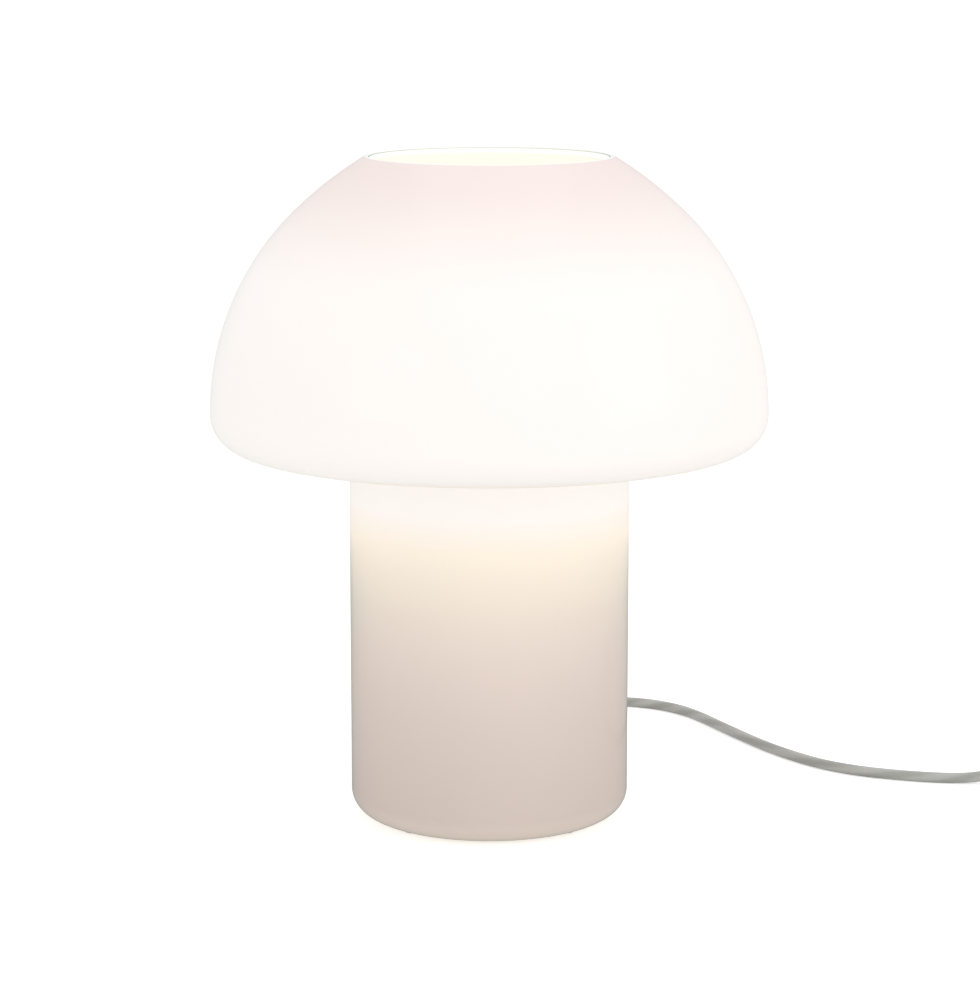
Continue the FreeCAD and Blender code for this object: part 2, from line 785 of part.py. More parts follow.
clamp_half("clamp_block", plate_z, block_top)
clamp_half("clamp_bar", bar_low, bar_top)
clamp_screw_z = plate_z - s.clamp_screw_bite


def screws(name, places, shank_radius, shank_low, shank_high, head_radius, head_low, head_height):
    """A group of equal screws, each one solid."""
    made = []
    for x, y in places:
        shank_bar = cylinder(shank_radius, shank_high - shank_low, x, y, shank_low)
        head_bar = cylinder(head_radius, head_height, x, y, head_low)
        made.append(joined([shank_bar, head_bar]))
    return keep(joined(made), name)


screws(
    "clamp_screws",
    [(s.clamp_screw_spread * side, clamp_screw_y) for side in (-1, 1)],
    s.clamp_screw_radius,
    clamp_screw_z,
    bar_top,
    s.clamp_head_radius,
    bar_top,
    s.clamp_head_height,
)

# The lampholder.

dome_floor_z = holder_z + s.dome_floor
insert_z = holder_z + s.insert_seat
insert_top = insert_z + s.insert_height
dome_top = holder_z + s.dome_height
thread_z = dome_top - s.thread_height
thread_radius = s.dome_radius - s.thread_depth
insert_bore = s.insert_radius + s.fit
nipple_top = dome_floor_z + s.nut_thickness + s.fit

nipple_foot = column_top + s.head_thickness - s.nipple_grip
turned("holder_nipple", ring(s.nipple_bore, s.nipple_radius, nipple_foot, nipple_top))

nut = new_body("holder_nut")
extrude(nut, hexagon(s.nut_flats), "XY_Plane", s.nut_thickness, dome_floor_z)
nut_hole = sketch_on(nut, "XY_Plane", dome_floor_z + s.nut_thickness)
draw_circle(nut_hole, 0, 0, s.nipple_radius + s.fit)
cut_through(nut, nut_hole, s.nut_thickness)
keep(nut, "holder_nut")

turned(
    "holder_dome",
    [
        (s.nipple_radius + s.fit, holder_z),
        (s.dome_foot_radius, holder_z, s.dome_curve, "left"),
        (s.dome_radius, holder_z + s.dome_flare),
        (s.dome_radius, thread_z),
        (thread_radius, thread_z),
        (thread_radius, dome_top),
        (insert_bore, dome_top),
        (insert_bore, insert_z),
        (insert_bore - s.insert_ledge, insert_z),
        (insert_bore - s.insert_ledge, dome_floor_z + s.dome_flare / 2),
        (s.dome_foot_radius - s.dome_wall, dome_floor_z),
        (s.nipple_radius + s.fit, dome_floor_z),
    ],
)

turned("holder_insert", ring(0, s.insert_radius, insert_z, insert_top))

terminals = [
    block(
        s.terminal_width,
        s.terminal_depth,
        s.terminal_height,
        s.terminal_spread * side - s.terminal_width / 2,
        -s.terminal_depth / 2,
        insert_z - s.terminal_height,
    )
    for side in (-1, 1)
]
terminal_screw_z = insert_z - s.terminal_height / 2
screw_sockets = [
    cylinder(
        s.terminal_screw_radius + s.fit,
        s.terminal_screw_length / 2,
        s.terminal_spread * side,
        -s.terminal_depth / 2,
        terminal_screw_z,
        ALONG_Y,
    )
    for side in (-1, 1)
]
keep(cut(joined(terminals), joined(screw_sockets)), "holder_terminals")
keep(
    joined(
        [
            cylinder(
                s.terminal_screw_radius,
                s.terminal_screw_length,
                s.terminal_spread * side,
                -s.terminal_depth / 2 - s.terminal_screw_length / 2,
                terminal_screw_z,
                ALONG_Y,
            )
            for side in (-1, 1)
        ]
    ),
    "terminal_screws",
)

skirt_top = thread_z + s.skirt_height
skirt_bore = s.skirt_top_radius - s.skirt_wall
turned(
    "holder_skirt",
    [
        (thread_radius + s.fit, thread_z),
        (s.dome_radius, thread_z),
        (s.skirt_top_radius, skirt_top - s.skirt_round_height, s.skirt_round, "left"),
        (s.skirt_top_radius - s.skirt_round_depth, skirt_top),
        (s.shell_bore + s.shell_wall, skirt_top),
        (s.shell_bore + s.shell_wall, skirt_top - s.skirt_lip),
        (skirt_bore, skirt_top - s.skirt_lip),
        (skirt_bore, dome_top + s.fit),
        (thread_radius + s.fit, dome_top + s.fit),
    ],
)

shell_radius = s.shell_bore + s.shell_wall
turned(
    "screw_shell",
    [
        (s.shell_floor_bore, insert_top),
        (shell_radius, insert_top),
        (shell_radius, insert_top + s.shell_height),
        (s.shell_bore, insert_top + s.shell_height),
        (s.shell_bore, insert_top + s.shell_wall),
        (s.shell_floor_bore, insert_top + s.shell_wall),
    ],
)

strip_top = insert_top + s.contact_height
strip = new_body("centre_contact")
extrude(
    strip,
    [
        (-s.contact_reach - s.contact_foot, insert_top),
        (-s.contact_reach, insert_top),
        (s.contact_strip - s.contact_reach, strip_top - s.contact_strip),
        (s.contact_reach, strip_top - s.contact_strip),
        (s.contact_reach, strip_top),
        (-s.contact_reach, strip_top),
        (-s.contact_reach - s.contact_strip, insert_top + s.contact_strip),
        (-s.contact_reach - s.contact_foot, insert_top + s.contact_strip),
    ],
    "XZ_Plane",
    s.contact_width,
    middle=True,
)
keep(strip, "centre_contact")

# The bulb, which screws out and lifts through the mouth of the cap.

tip_z = strip_top + s.fit
cap_low = tip_z + s.bulb_cap_foot
cap_high = tip_z + s.bulb_cap_top
insulator_z = tip_z + s.bulb_contact_height
cap_inside = s.bulb_cap_radius - s.bulb_cap_wall
neck_reach = s.bulb_neck + s.bulb_neck_arc
neck_drop = other_side(s.bulb_radius + s.bulb_neck_arc, neck_reach)
bulb_neck_z = cap_high + s.bulb_neck_length
globe_z = bulb_neck_z + neck_drop
meet_across = neck_reach / (s.bulb_radius + s.bulb_neck_arc)
meet_down = neck_drop / (s.bulb_radius + s.bulb_neck_arc)
globe_bore = s.bulb_radius - s.bulb_glass_wall
bulb_neck_bore = s.bulb_neck - s.bulb_glass_wall

turned("bulb_contact", ring(0, s.bulb_contact_radius, tip_z, insulator_z))
turned(
    "bulb_insulator",
    [
        (0, insulator_z),
        (s.bulb_contact_radius, insulator_z),
        (s.bulb_insulator_radius, cap_low),
        (0, cap_low),
    ],
)
turned(
    "bulb_screw_cap",
    [
        (0, cap_low),
        (s.bulb_insulator_radius, cap_low),
        (s.bulb_cap_radius, cap_low + s.bulb_cap_radius - s.bulb_insulator_radius),
        (s.bulb_cap_radius, cap_high),
        (cap_inside, cap_high),
        (cap_inside, cap_low + s.bulb_cap_radius - s.bulb_insulator_radius + s.bulb_cap_wall),
        (s.bulb_insulator_radius - s.bulb_cap_wall, cap_low + s.bulb_cap_wall),
        (0, cap_low + s.bulb_cap_wall),
    ],
)
neck_arc_inside = s.bulb_neck_arc + s.bulb_glass_wall
glass_bottom = cap_low + s.bulb_cap_radius - s.bulb_insulator_radius + 2 * s.bulb_cap_wall
turned(
    "bulb_glass",
    [
        (bulb_neck_bore - s.fit, glass_bottom),
        (cap_inside - s.fit, glass_bottom),
        (cap_inside - s.fit, cap_high),
        (s.bulb_neck, bulb_neck_z, s.bulb_neck_arc, "right"),
        (s.bulb_radius * meet_across, globe_z - s.bulb_radius * meet_down, s.bulb_radius, "left"),
        (0, globe_z + s.bulb_radius),
        (0, globe_z + globe_bore, globe_bore, "right"),
        (globe_bore * meet_across, globe_z - globe_bore * meet_down, neck_arc_inside, "left"),
        (bulb_neck_bore, bulb_neck_z),
        (bulb_neck_bore - s.fit, cap_high),
    ],
)

# The lead inside the lamp. From here on a cord is straight runs joined by arcs.


def swept(points, bends, radius):
    """A round bar along straight runs joined by arcs. Gives the solid, its length and its radii."""
    edges = []
    start = points[0]
    radii = []
    length = 0.0
    for before, corner, after, bend in zip(points, points[1:], points[2:], bends):
        inward = (corner - before).normalize()
        outward = (after - corner).normalize()
        half_turn = inward.getAngle(outward) / 2
        reach = bend * math.tan(half_turn)
        first = corner - inward * reach
        last = corner + outward * reach
        towards = (outward - inward).normalize()
        middle = corner + towards * (bend / math.cos(half_turn) - bend)
        edges.append(Part.LineSegment(start, first).toShape())
        edges.append(Part.Arc(first, middle, last).toShape())
        length += (first - start).Length + 2 * half_turn * bend
        radii.append(bend)
        start = last
    edges.append(Part.LineSegment(start, points[-1]).toShape())
    length += (points[-1] - start).Length
    heading = (points[1] - points[0]).normalize()
    section = Part.Wire([Part.Circle(points[0], heading, radius).toShape()])
    solid = Part.Wire(edges).makePipeShell([section], True, True)
    share = solid.Volume / (math.pi * radius * radius * length)
    if abs(share - 1) > 0.01:
        raise ValueError(f"a cord's volume is {share:.3f} of its section times its length")
    return solid, length, radii


def largest_bends(points):
    """The radius of each corner's arc, 0.45 of its shorter run over the tangent of half its turn."""
    bends = []
    for before, corner, after in zip(points, points[1:], points[2:]):
        shorter = min((corner - before).Length, (after - corner).Length)
        half_turn = (corner - before).getAngle(after - corner) / 2
        bends.append(0.45 * shorter / math.tan(half_turn))
    return bends


def cord_piece(name, solid):
    """A sub-part whose shape is swept in code."""
    piece = doc.addObject("Part::Feature", name)
    piece.Shape = solid
    piece.Placement = FreeCAD.Placement()
    return keep(piece, name)


def numbers(*sizes):
    return V(*(as_size(value).number for value in sizes))


cord_end_z = nipple_top + s.cord_end_over_nipple
inner_points = [
    numbers(0, sleeve_end, s.cord_height),
    numbers(0, 0, s.cord_height),
    numbers(0, 0, cord_end_z),
]
inner_solid, inner_length, _ = swept(inner_points, [grommet_start.number], s.cord_radius.number)
cord_piece("inner_cord", inner_solid)

terminal_low = insert_z - s.terminal_height
core_solids = []
for side in (-1, 1):
    middle_z = (cord_end_z.number + terminal_low.number) / 2
    core_points = [
        numbers(s.core_spread * side, 0, cord_end_z),
        numbers(s.core_spread * side, 0, middle_z),
        numbers(s.terminal_spread * side, 0, middle_z),
        numbers(s.terminal_spread * side, 0, terminal_low),
    ]
    core_bends = [s.core_bend.number] * 2
    core_solids.append(swept(core_points, core_bends, s.core_radius.number)[0])
cord_piece("core_wires", Part.Compound(core_solids))

# The inline switch. Its own middle is on the table, with the lead running along X.

switch_parting = s.switch_base_height
switch_top = s.switch_base_height + s.switch_cover_height
half_length = s.switch_length / 2
half_wide = s.switch_width / 2
half_end = s.switch_end_width / 2
switch_outline = [
    (-half_length, -half_end),
    (s.switch_shoulder - half_length, -half_wide),
    (half_length - s.switch_shoulder, -half_wide),
    (half_length, -half_end),
    (half_length, half_end),
    (half_length - s.switch_shoulder, half_wide),
    (s.switch_shoulder - half_length, half_wide),
    (-half_length, half_end),
]
switch_inside = rounded_corners(
    s.switch_cavity / 2, half_wide - s.switch_wall, s.switch_cavity_corner
)
screw_places = [(s.switch_screw_x, -s.switch_screw_y), (-s.switch_screw_x, s.switch_screw_y)]
post_top = s.rocker_axis - (
    (s.rocker_reach * sine(s.rocker_foot_angle) + s.bridge_thickness) * cosine(s.rocker_tilt)
    + s.bridge_reach * sine(s.rocker_tilt)
) - s.fit * 2


def edges_at(shape, height, flat_tolerance=0.001):
    """The names of a shape's edges that lie flat at one height."""
    found = []
    for index, edge in enumerate(shape.Edges, 1):
        heights = [vertex.Z for vertex in edge.Vertexes]
        if all(abs(z - height) < flat_tolerance for z in heights):
            found.append(f"Edge{index}")
    return found


def round_edges(body, feature, height, radius):
    """Fillets the edges of a feature that lie flat at one height."""
    doc.recompute()
    fillet = body.newObject("PartDesign::Fillet", f"{body.Name}_fillet")
    fillet.Base = (feature, edges_at(feature.Shape, height.number))
    bind(fillet, "Radius", radius)
    return fillet


def bore_for_lead(body):
    """Cuts the way of the lead through both ends of a switch shell."""
    sketch = sketch_on(body, "YZ_Plane")
    draw_circle(sketch, 0, switch_parting, cord_bore)
    cut_through(body, sketch, s.switch_length + s.cut_margin, middle=True)


base = new_body("switch_base")
base_pad = extrude(base, switch_outline, "XY_Plane", s.switch_base_height)
round_edges(base, base_pad, as_size(0), s.switch_bottom_edge)
cavity = sketch_on(base, "XY_Plane", switch_parting)
draw(cavity, switch_inside)
cut_through(base, cavity, s.switch_base_height - s.switch_wall)
bore_for_lead(base)
shank_holes = sketch_on(base, "XY_Plane", switch_parting)
head_holes = sketch_on(base, "XY_Plane")
for x, y in screw_places:
    draw_circle(shank_holes, x, y, s.switch_screw_radius + s.fit)
    draw_circle(head_holes, x, y, s.switch_head_radius + s.fit)
cut_through(base, shank_holes)
cut_through(base, head_holes, s.switch_head_sink + s.switch_head_height, flipped=True)
place(base, s.switch_x, s.switch_y)
keep(base, "switch_base")

window_half = s.rocker_reach + s.loose_fit
window_side = s.rocker_width / 2 + s.loose_fit
cover = new_body("switch_cover")
cover_pad = extrude(cover, switch_outline, "XY_Plane", s.switch_cover_height, switch_parting)
round_edges(cover, cover_pad, switch_top, s.switch_edge)
cavity = sketch_on(cover, "XY_Plane", switch_parting)
draw(cavity, switch_inside)
cut_through(cover, cavity, s.switch_cover_height - s.switch_wall, flipped=True)
bore_for_lead(cover)
rib_low = s.rocker_axis - s.axle_radius - s.switch_wall / 2
for side in (-1, 1):
    near = window_side
    far = window_side + s.bearing_wall
    corners = box_corners(
        -s.bearing_length / 2,
        s.bearing_length / 2,
        near if side == 1 else -far,
        far if side == 1 else -near,
    )
    extrude(cover, corners, "XY_Plane", switch_top - s.switch_wall - rib_low, rib_low)
window = sketch_on(cover, "XY_Plane", switch_top)
draw(window, box_corners(-window_half, window_half, -window_side, window_side))
cut_through(cover, window, s.switch_cover_height)
axle_hole = sketch_on(cover, "XZ_Plane")
draw_circle(axle_hole, 0, s.rocker_axis, s.axle_radius + s.fit)
axle_end = s.rocker_width / 2 + s.axle_length
cut_through(cover, axle_hole, 2 * (axle_end + s.fit), middle=True)
cover_holes = sketch_on(cover, "XY_Plane", switch_parting)
screw_top = s.switch_head_sink + s.switch_head_height + s.switch_screw_length
for x, y in screw_places:
    draw_circle(cover_holes, x, y, s.switch_screw_radius + s.fit)
cut_through(cover, cover_holes, screw_top - switch_parting + s.fit, flipped=True)
place(cover, s.switch_x, s.switch_y)
keep(cover, "switch_cover")

screws(
    "switch_screws",
    [(s.switch_x + x, s.switch_y + y) for x, y in screw_places],
    s.switch_screw_radius,
    s.switch_head_sink + s.switch_head_height / 2,
    screw_top,
    s.switch_head_radius,
    s.switch_head_sink,
    s.switch_head_height,
)

# The rocker stands tilted to its "on" side, with its stub axles in the cover's ribs.

rocker_top_x = s.rocker_reach * cosine(s.rocker_top_angle)
rocker_top_z = s.rocker_reach * sine(s.rocker_top_angle)
rocker_low_x = s.rocker_reach * cosine(s.rocker_foot_angle)
rocker_low_z = s.rocker_reach * sine(s.rocker_foot_angle)
rocker_dip = rocker_top_z - rocker_top_x * tangent(s.rocker_tilt)
rocker_turn = FreeCAD.Rotation(V(0, 1, 0), s.rocker_tilt.number)


def seat_on_axle(thing):
    """Puts a thing that is drawn about the axle in its place in the switch."""
    place(thing, s.switch_x, s.switch_y, s.rocker_axis)
    bind(thing, "Placement.Rotation.Angle", s.rocker_tilt)
    return thing


rocker = new_body("switch_rocker")
extrude(
    rocker,
    [
        (-rocker_low_x, -rocker_low_z),
        (rocker_low_x, -rocker_low_z, s.rocker_reach, "left"),
        (rocker_top_x, rocker_top_z),
        (0, rocker_dip),
        (-rocker_top_x, rocker_top_z, s.rocker_reach, "left"),
    ],
    "XZ_Plane",
    s.rocker_width,
    middle=True,
)
axle_sketch = sketch_on(rocker, "XZ_Plane")
draw_circle(axle_sketch, 0, 0, s.axle_radius)
axle = add_feature(rocker, "Pad", axle_sketch, "axle")
axle.SideType = "Symmetric"
bind(axle, "Length", 2 * axle_end)
rocker.Placement = FreeCAD.Placement(V(0, 0, 0), rocker_turn)
keep(seat_on_axle(rocker), "switch_rocker")

bridge = new_body("contact_bridge")
extrude(
    bridge,
    box_corners(-s.bridge_reach, s.bridge_reach, -rocker_low_z - s.bridge_thickness, -rocker_low_z),
    "XZ_Plane",
    s.bridge_width,
    middle=True,
)
bridge.Placement = FreeCAD.Placement(V(0, 0, 0), rocker_turn)
keep(seat_on_axle(bridge), "contact_bridge")

posts = [
    block(
        s.post_length,
        s.bridge_width,
        post_top - s.switch_wall,
        s.switch_x + s.post_start,
        s.switch_y - s.bridge_width / 2,
        s.switch_wall,
    ),
    block(
        s.post_length,
        s.bridge_width,
        post_top - s.switch_wall,
        s.switch_x - s.post_start - s.post_length,
        s.switch_y - s.bridge_width / 2,
        s.switch_wall,
    ),
]
keep(joined(posts), "switch_contacts")

# The free lead from the sleeve over the table to the switch.

switch_in = s.switch_x - half_length
switch_out = s.switch_x + half_length
lead_points = [numbers(0, sleeve_end, s.cord_height)]
lead_points += [V(*point) for point in LEAD_ROUTE]
lead_points.append(numbers(switch_in - RISE_TO_SWITCH / 2, s.switch_y, switch_parting))
lead_points.append(numbers(switch_in + s.switch_grip, s.switch_y, switch_parting))
lead_solid, lead_length, lead_radii = swept(
    lead_points, largest_bends(lead_points), s.cord_radius.number
)
cord_piece("cord_stretch", lead_solid)
print("lead radii", [round(r, 1) for r in lead_radii])

# The put-away coil: two layers, spiralling in below and out again above, as one tube.

layer_turn = 2 * math.pi * s.coil_layer_turns.number
start_angle = math.radians(s.coil_start_angle.number)
coil_low_z = s.tie_thickness.number + s.loose_fit.number + s.cord_radius.number
pitch = s.coil_pitch.number
per_radian = pitch / (2 * math.pi)
coil_centre = numbers(s.coil_x, s.coil_y, 0)


def coil_point(swing):
    """The lead's middle and its heading after a swing of the coil, in radians."""
    from_middle = swing - layer_turn
    radius = s.coil_inside.number + per_radian * abs(from_middle)
    growth = per_radian * (from_middle > 0) - per_radian * (from_middle < 0)
    share = min(max(from_middle / math.pi + 0.5, 0.0), 1.0)
    height = coil_low_z + pitch * (share - math.sin(2 * math.pi * share) / (2 * math.pi))
    climb = pitch / math.pi * (1 - math.cos(2 * math.pi * share)) if 0 < share < 1 else 0.0
    angle = start_angle + swing
    across = V(math.cos(angle), math.sin(angle), 0)
    along = V(-math.sin(angle), math.cos(angle), 0)
    point = coil_centre + across * radius + V(0, 0, height)
    heading = (across * growth + along * radius + V(0, 0, climb)).normalize()
    return point, heading


def arc_from(start, heading, end):
    """The arc that leaves start along heading and ends at end."""
    chord = end - start
    along = V(chord).normalize()
    side = heading - along * heading.dot(along)
    half_turn = heading.getAngle(chord)
    if half_turn < 1e-5:
        return Part.LineSegment(start, end)
    sag = chord.Length / 2 * math.tan(half_turn / 2)
    return Part.Arc(start, (start + end) * 0.5 + side.normalize() * sag, end)


def biarc(start, heading, end, end_heading):
    """Two arcs that join two points along their headings."""
    gap = end - start
    both = heading + end_heading
    slack = 2 * (1 - heading.dot(end_heading))
    along = gap.dot(both)
    if slack < 1e-9:
        reach = gap.dot(gap) / (4 * gap.dot(end_heading))
    else:
        reach = (-along + math.sqrt(along * along + slack * gap.dot(gap))) / slack
    middle = (start + heading * reach + end - end_heading * reach) * 0.5
    second = arc_from(end, -end_heading, middle)
    return [arc_from(start, heading, middle).toShape(), reversed_edge(second, middle, end)]


def reversed_edge(curve, start, end):
    """The same arc or line, run from start to end."""
    if isinstance(curve, Part.LineSegment):
        return Part.LineSegment(start, end).toShape()
    between = curve.value((curve.FirstParameter + curve.LastParameter) / 2)
    return Part.Arc(start, between, end).toShape()


cord_width = 2 * s.cord_radius.number
quarter_swings = [layer_turn - math.pi / 2 * step for step in range(int(layer_turn / (math.pi / 2)), 0, -1)]
swings = [0.0, *quarter_swings, layer_turn]
swings += [layer_turn + math.pi / 2 * step for step in range(1, len(quarter_swings) + 1)]
swings.append(2 * layer_turn)
stations = [coil_point(swing) for swing in swings]
stations[0] = (stations[0][0], coil_point(1e-6)[1])
first_point, first_heading = stations[0]
level_heading = V(first_heading.x, first_heading.y, 0).normalize()
coil_start = first_point - level_heading * cord_width
last_point, last_heading = stations[-1]
exit_turn = math.degrees(start_angle + 2 * layer_turn) + 90
exit_heading = V(math.cos(math.radians(exit_turn)), math.sin(math.radians(exit_turn)), 0)
exit_point = last_point + exit_heading * s.coil_exit_run.number
exit_point.z = s.plug_thickness.number / 2
coil_end = exit_point + exit_heading * cord_width
coil_edges = [Part.LineSegment(coil_start, first_point).toShape()]
for (here, heading), (there, next_heading) in zip(stations, stations[1:]):
    coil_edges += biarc(here, heading, there, next_heading)
coil_edges += biarc(last_point, last_heading, exit_point, exit_heading)
coil_edges.append(Part.LineSegment(exit_point, coil_end).toShape())
coil_path = Part.Wire(coil_edges)
coil_section = Part.Wire([Part.Circle(coil_start, level_heading, s.cord_radius.number).toShape()])
coil_solid = coil_path.makePipeShell([coil_section], True, False)
cord_piece("cord_coil", coil_solid)

# How near the coil comes to itself, on points along its middle.

coil_points = coil_path.discretize(Distance=2.0)
skipped = round(3 * cord_width / 2.0)
coil_gap = min(
    (coil_points[i] - coil_points[j]).Length
    for i in range(len(coil_points))
    for j in range(i + skipped, len(coil_points))
) - cord_width
coil_share = coil_solid.Volume / (math.pi * s.cord_radius.number ** 2 * coil_path.Length)
print(f"coil gap {coil_gap:.2f}, coil length {coil_path.Length:.0f}, volume share {coil_share:.4f}")

# The short lead between the switch and the coil.

link_points = [
    numbers(switch_out - s.switch_grip, s.switch_y, switch_parting),
    numbers(switch_out + LINK_DROP_START, s.switch_y, switch_parting),
    coil_start - level_heading * LINK_LAST_RUN,
    coil_start,
]
link_solid, link_length, link_radii = swept(
    link_points, largest_bends(link_points), s.cord_radius.number
)
cord_piece("cord_link", link_solid)
print("link radii", [round(r, 1) for r in link_radii])
print("lengths", round(lead_length), round(link_length), round(coil_path.Length), round(inner_length))

# The strap round the coil, on its near side to the lamp.

tie_turns = (180 - s.coil_start_angle) / 360
low_turns = s.coil_layer_turns - tie_turns
high_turns = math.floor((2 * s.coil_layer_turns - tie_turns).number) + tie_turns - s.coil_layer_turns
inmost_turns = min((past_whole_turns(low_turns), past_whole_turns(high_turns)), key=as_number)
outmost_turns = max((low_turns, high_turns), key=as_number)
cord_reach = s.cord_radius + s.loose_fit
bundle_inside_edge = s.coil_inside + s.coil_pitch * inmost_turns - cord_reach
bundle_inside = other_side(bundle_inside_edge, s.tie_width / 2) - s.loose_fit
bundle_outside = s.coil_inside + s.coil_pitch * outmost_turns + cord_reach
bundle_top = s.tie_thickness + s.loose_fit + 2 * s.cord_radius + s.coil_pitch + s.loose_fit
tie_middle = -(bundle_inside + bundle_outside) / 2
tie_half = (bundle_outside - bundle_inside) / 2 + s.tie_thickness
tie_half_height = (bundle_top + s.tie_thickness) / 2
tie = new_body("coil_tie")
extrude(tie, rounded_corners(tie_half, tie_half_height, s.tie_corner), "XZ_Plane", s.tie_width, middle=True)
tie_hole = sketch_on(tie, "XZ_Plane")
draw(
    tie_hole,
    rounded_corners(
        tie_half - s.tie_thickness, tie_half_height - s.tie_thickness, s.tie_corner - s.tie_thickness
    ),
)
cut_through(tie, tie_hole, s.tie_width + s.cut_margin, middle=True)
place(tie, s.coil_x + tie_middle, s.coil_y, tie_half_height)
keep(tie, "coil_tie")

# The plug, drawn with its front at the origin and its pins along +X, then turned about.

plug = new_body("plug_body")
plug_sections = []
for offset, width, thickness, corner in (
    (as_size(0), s.plug_width, s.plug_thickness, s.plug_corner),
    (-s.plug_straight, s.plug_width, s.plug_thickness, s.plug_corner),
    (-s.plug_length, s.plug_back_width, s.plug_back_thickness, s.plug_back_corner),
):
    section_sketch = sketch_on(plug, "YZ_Plane", offset)
    draw(section_sketch, rounded_corners(width / 2, thickness / 2, corner))
    plug_sections.append(section_sketch)
plug_loft = add_feature(plug, "AdditiveLoft", plug_sections[0], "loft")
plug_loft.Sections = plug_sections[1:]
plug_loft.Ruled = True
tail_pitch = s.tail_length / s.tail_ribs
tail_corners = [(-s.plug_length - s.tail_length, 0)]
for index in range(round(s.tail_ribs.number)):
    rib_start = -s.plug_length - s.tail_length + tail_pitch * index
    rib = s.tail_rib - (s.tail_rib - s.tail_groove) * (s.tail_ribs - index - 1) / s.tail_ribs / 2
    tail_corners += [
        (rib_start, rib),
        (rib_start + tail_pitch * s.tail_rib_share, rib),
        (rib_start + tail_pitch * s.tail_rib_share, s.tail_groove),
        (rib_start + tail_pitch, s.tail_groove),
    ]
tail_corners[-1] = (s.tail_root - s.plug_length, s.tail_groove)
tail_corners.append((s.tail_root - s.plug_length, 0))
revolve(plug, tail_corners, "XZ_Plane", "H_Axis")
pin_holes = sketch_on(plug, "YZ_Plane")
for side in (-1, 1):
    draw_circle(pin_holes, s.pin_spacing / 2 * side, 0, s.pin_core + s.fit)
cut_through(plug, pin_holes, s.pin_root + s.fit)
plug_front = coil_end + exit_heading * (s.tail_length + s.plug_length).number
plug_place = FreeCAD.Placement(plug_front, FreeCAD.Rotation(V(0, 0, 1), exit_turn))
plug.Placement = plug_place
keep(plug, "plug_body")


def two_pins(name, shapes_of):
    """A pair of shapes, one for each pin, carried with the plug."""
    pair = joined([shapes_of(s.pin_spacing / 2 * side) for side in (-1, 1)])
    pair.Placement = plug_place
    return keep(pair, name)


def pin(y):
    core = cylinder(s.pin_core, s.pin_root + s.pin_length - s.pin_bare, -s.pin_root, y, 0, ALONG_X)
    bare = cylinder(
        s.pin_radius, s.pin_bare - s.pin_radius, s.pin_length - s.pin_bare, y, 0, ALONG_X
    )
    tip = doc.addObject("Part::Sphere", "pin_tip")
    bind(tip, "Radius", s.pin_radius)
    place(tip, s.pin_length - s.pin_radius, y)
    return joined([core, bare, tip])


def pin_sleeve(y):
    return tube(
        s.pin_core + s.fit,
        s.pin_sleeve_radius,
        s.pin_length - s.pin_bare - s.fit,
        0,
        y,
        0,
        ALONG_X,
    )


two_pins("plug_pins", pin)
two_pins("pin_sleeves", pin_sleeve)

# Checks every object and shape, then writes each sub-part.

doc.recompute()
for thing in doc.Objects:
    if any("Invalid" in state or "Error" in state for state in thing.State):
        raise ValueError(f"{thing.Name} is {thing.State}")
for piece in pieces:
    if piece.Shape.isNull() or not piece.Shape.isValid() or piece.Shape.Volume <= 0:
        raise ValueError(f"{piece.Label} has no sound shape")
os.makedirs("parts", exist_ok=True)
for piece in pieces:
    piece.Shape.exportStep(f"parts/{piece.Label}.step")
    print(piece.Label, len(piece.Shape.Solids), round(piece.Shape.Volume, 1))
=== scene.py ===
"""Looks of a mushroom table lamp of blown opal glass, lit from inside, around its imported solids."""

import logging
import math
from dataclasses import dataclass, field, replace
from enum import Enum
from typing import Any

import bpy
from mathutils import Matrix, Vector


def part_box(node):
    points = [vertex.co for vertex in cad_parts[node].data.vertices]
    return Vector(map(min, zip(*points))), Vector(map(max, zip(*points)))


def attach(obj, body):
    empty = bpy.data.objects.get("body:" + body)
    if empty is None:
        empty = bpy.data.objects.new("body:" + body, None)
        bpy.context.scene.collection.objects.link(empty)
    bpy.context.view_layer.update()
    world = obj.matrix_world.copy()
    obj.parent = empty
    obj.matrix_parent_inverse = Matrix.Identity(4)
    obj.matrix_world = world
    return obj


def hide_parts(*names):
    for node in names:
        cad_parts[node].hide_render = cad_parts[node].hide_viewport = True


logging.basicConfig(level=logging.INFO, format="%(message)s")
LOG = logging.getLogger("lamp")

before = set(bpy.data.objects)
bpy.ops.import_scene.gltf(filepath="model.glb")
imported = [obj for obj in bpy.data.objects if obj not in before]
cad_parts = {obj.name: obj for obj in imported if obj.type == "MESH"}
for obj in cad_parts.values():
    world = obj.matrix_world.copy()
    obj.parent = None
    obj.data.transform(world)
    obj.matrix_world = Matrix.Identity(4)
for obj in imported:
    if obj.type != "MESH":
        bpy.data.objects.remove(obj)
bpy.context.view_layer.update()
MM = 0.001
WHITE = (1.0, 1.0, 1.0, 1.0)
# Faces that meet at less than this angle are shaded as one smooth surface.
SMOOTH_BELOW = math.radians(35)
# Points of a spun wall that lie closer than this, in metres, are merged.
WELD = 0.00002
Point = tuple[float, float, float]
Outline = list[tuple[float, float]]


class Body(Enum):
    """The bodies that pieces ride on."""

    LAMP = "lamp"
    BULB = "bulb"
    ROCKER = "rocker"


class Side(Enum):
    """The sides of the glass, which are its material slots."""

    OUTSIDE = 0
    INSIDE = 1
    RIM = 2


def linear(colour: str) -> tuple[float, float, float, float]:
    """Turns an sRGB hex colour to linear.

    Args:
        colour: six hex digits.

    Returns:
        Red, green, blue and an alpha of 1.
    """
    parts = [int(colour[i : i + 2], 16) / 255 for i in (0, 2, 4)]
    red, green, blue = (p / 12.92 if p <= 0.04045 else ((p + 0.055) / 1.055) ** 2.4 for p in parts)
    return red, green, blue, 1.0


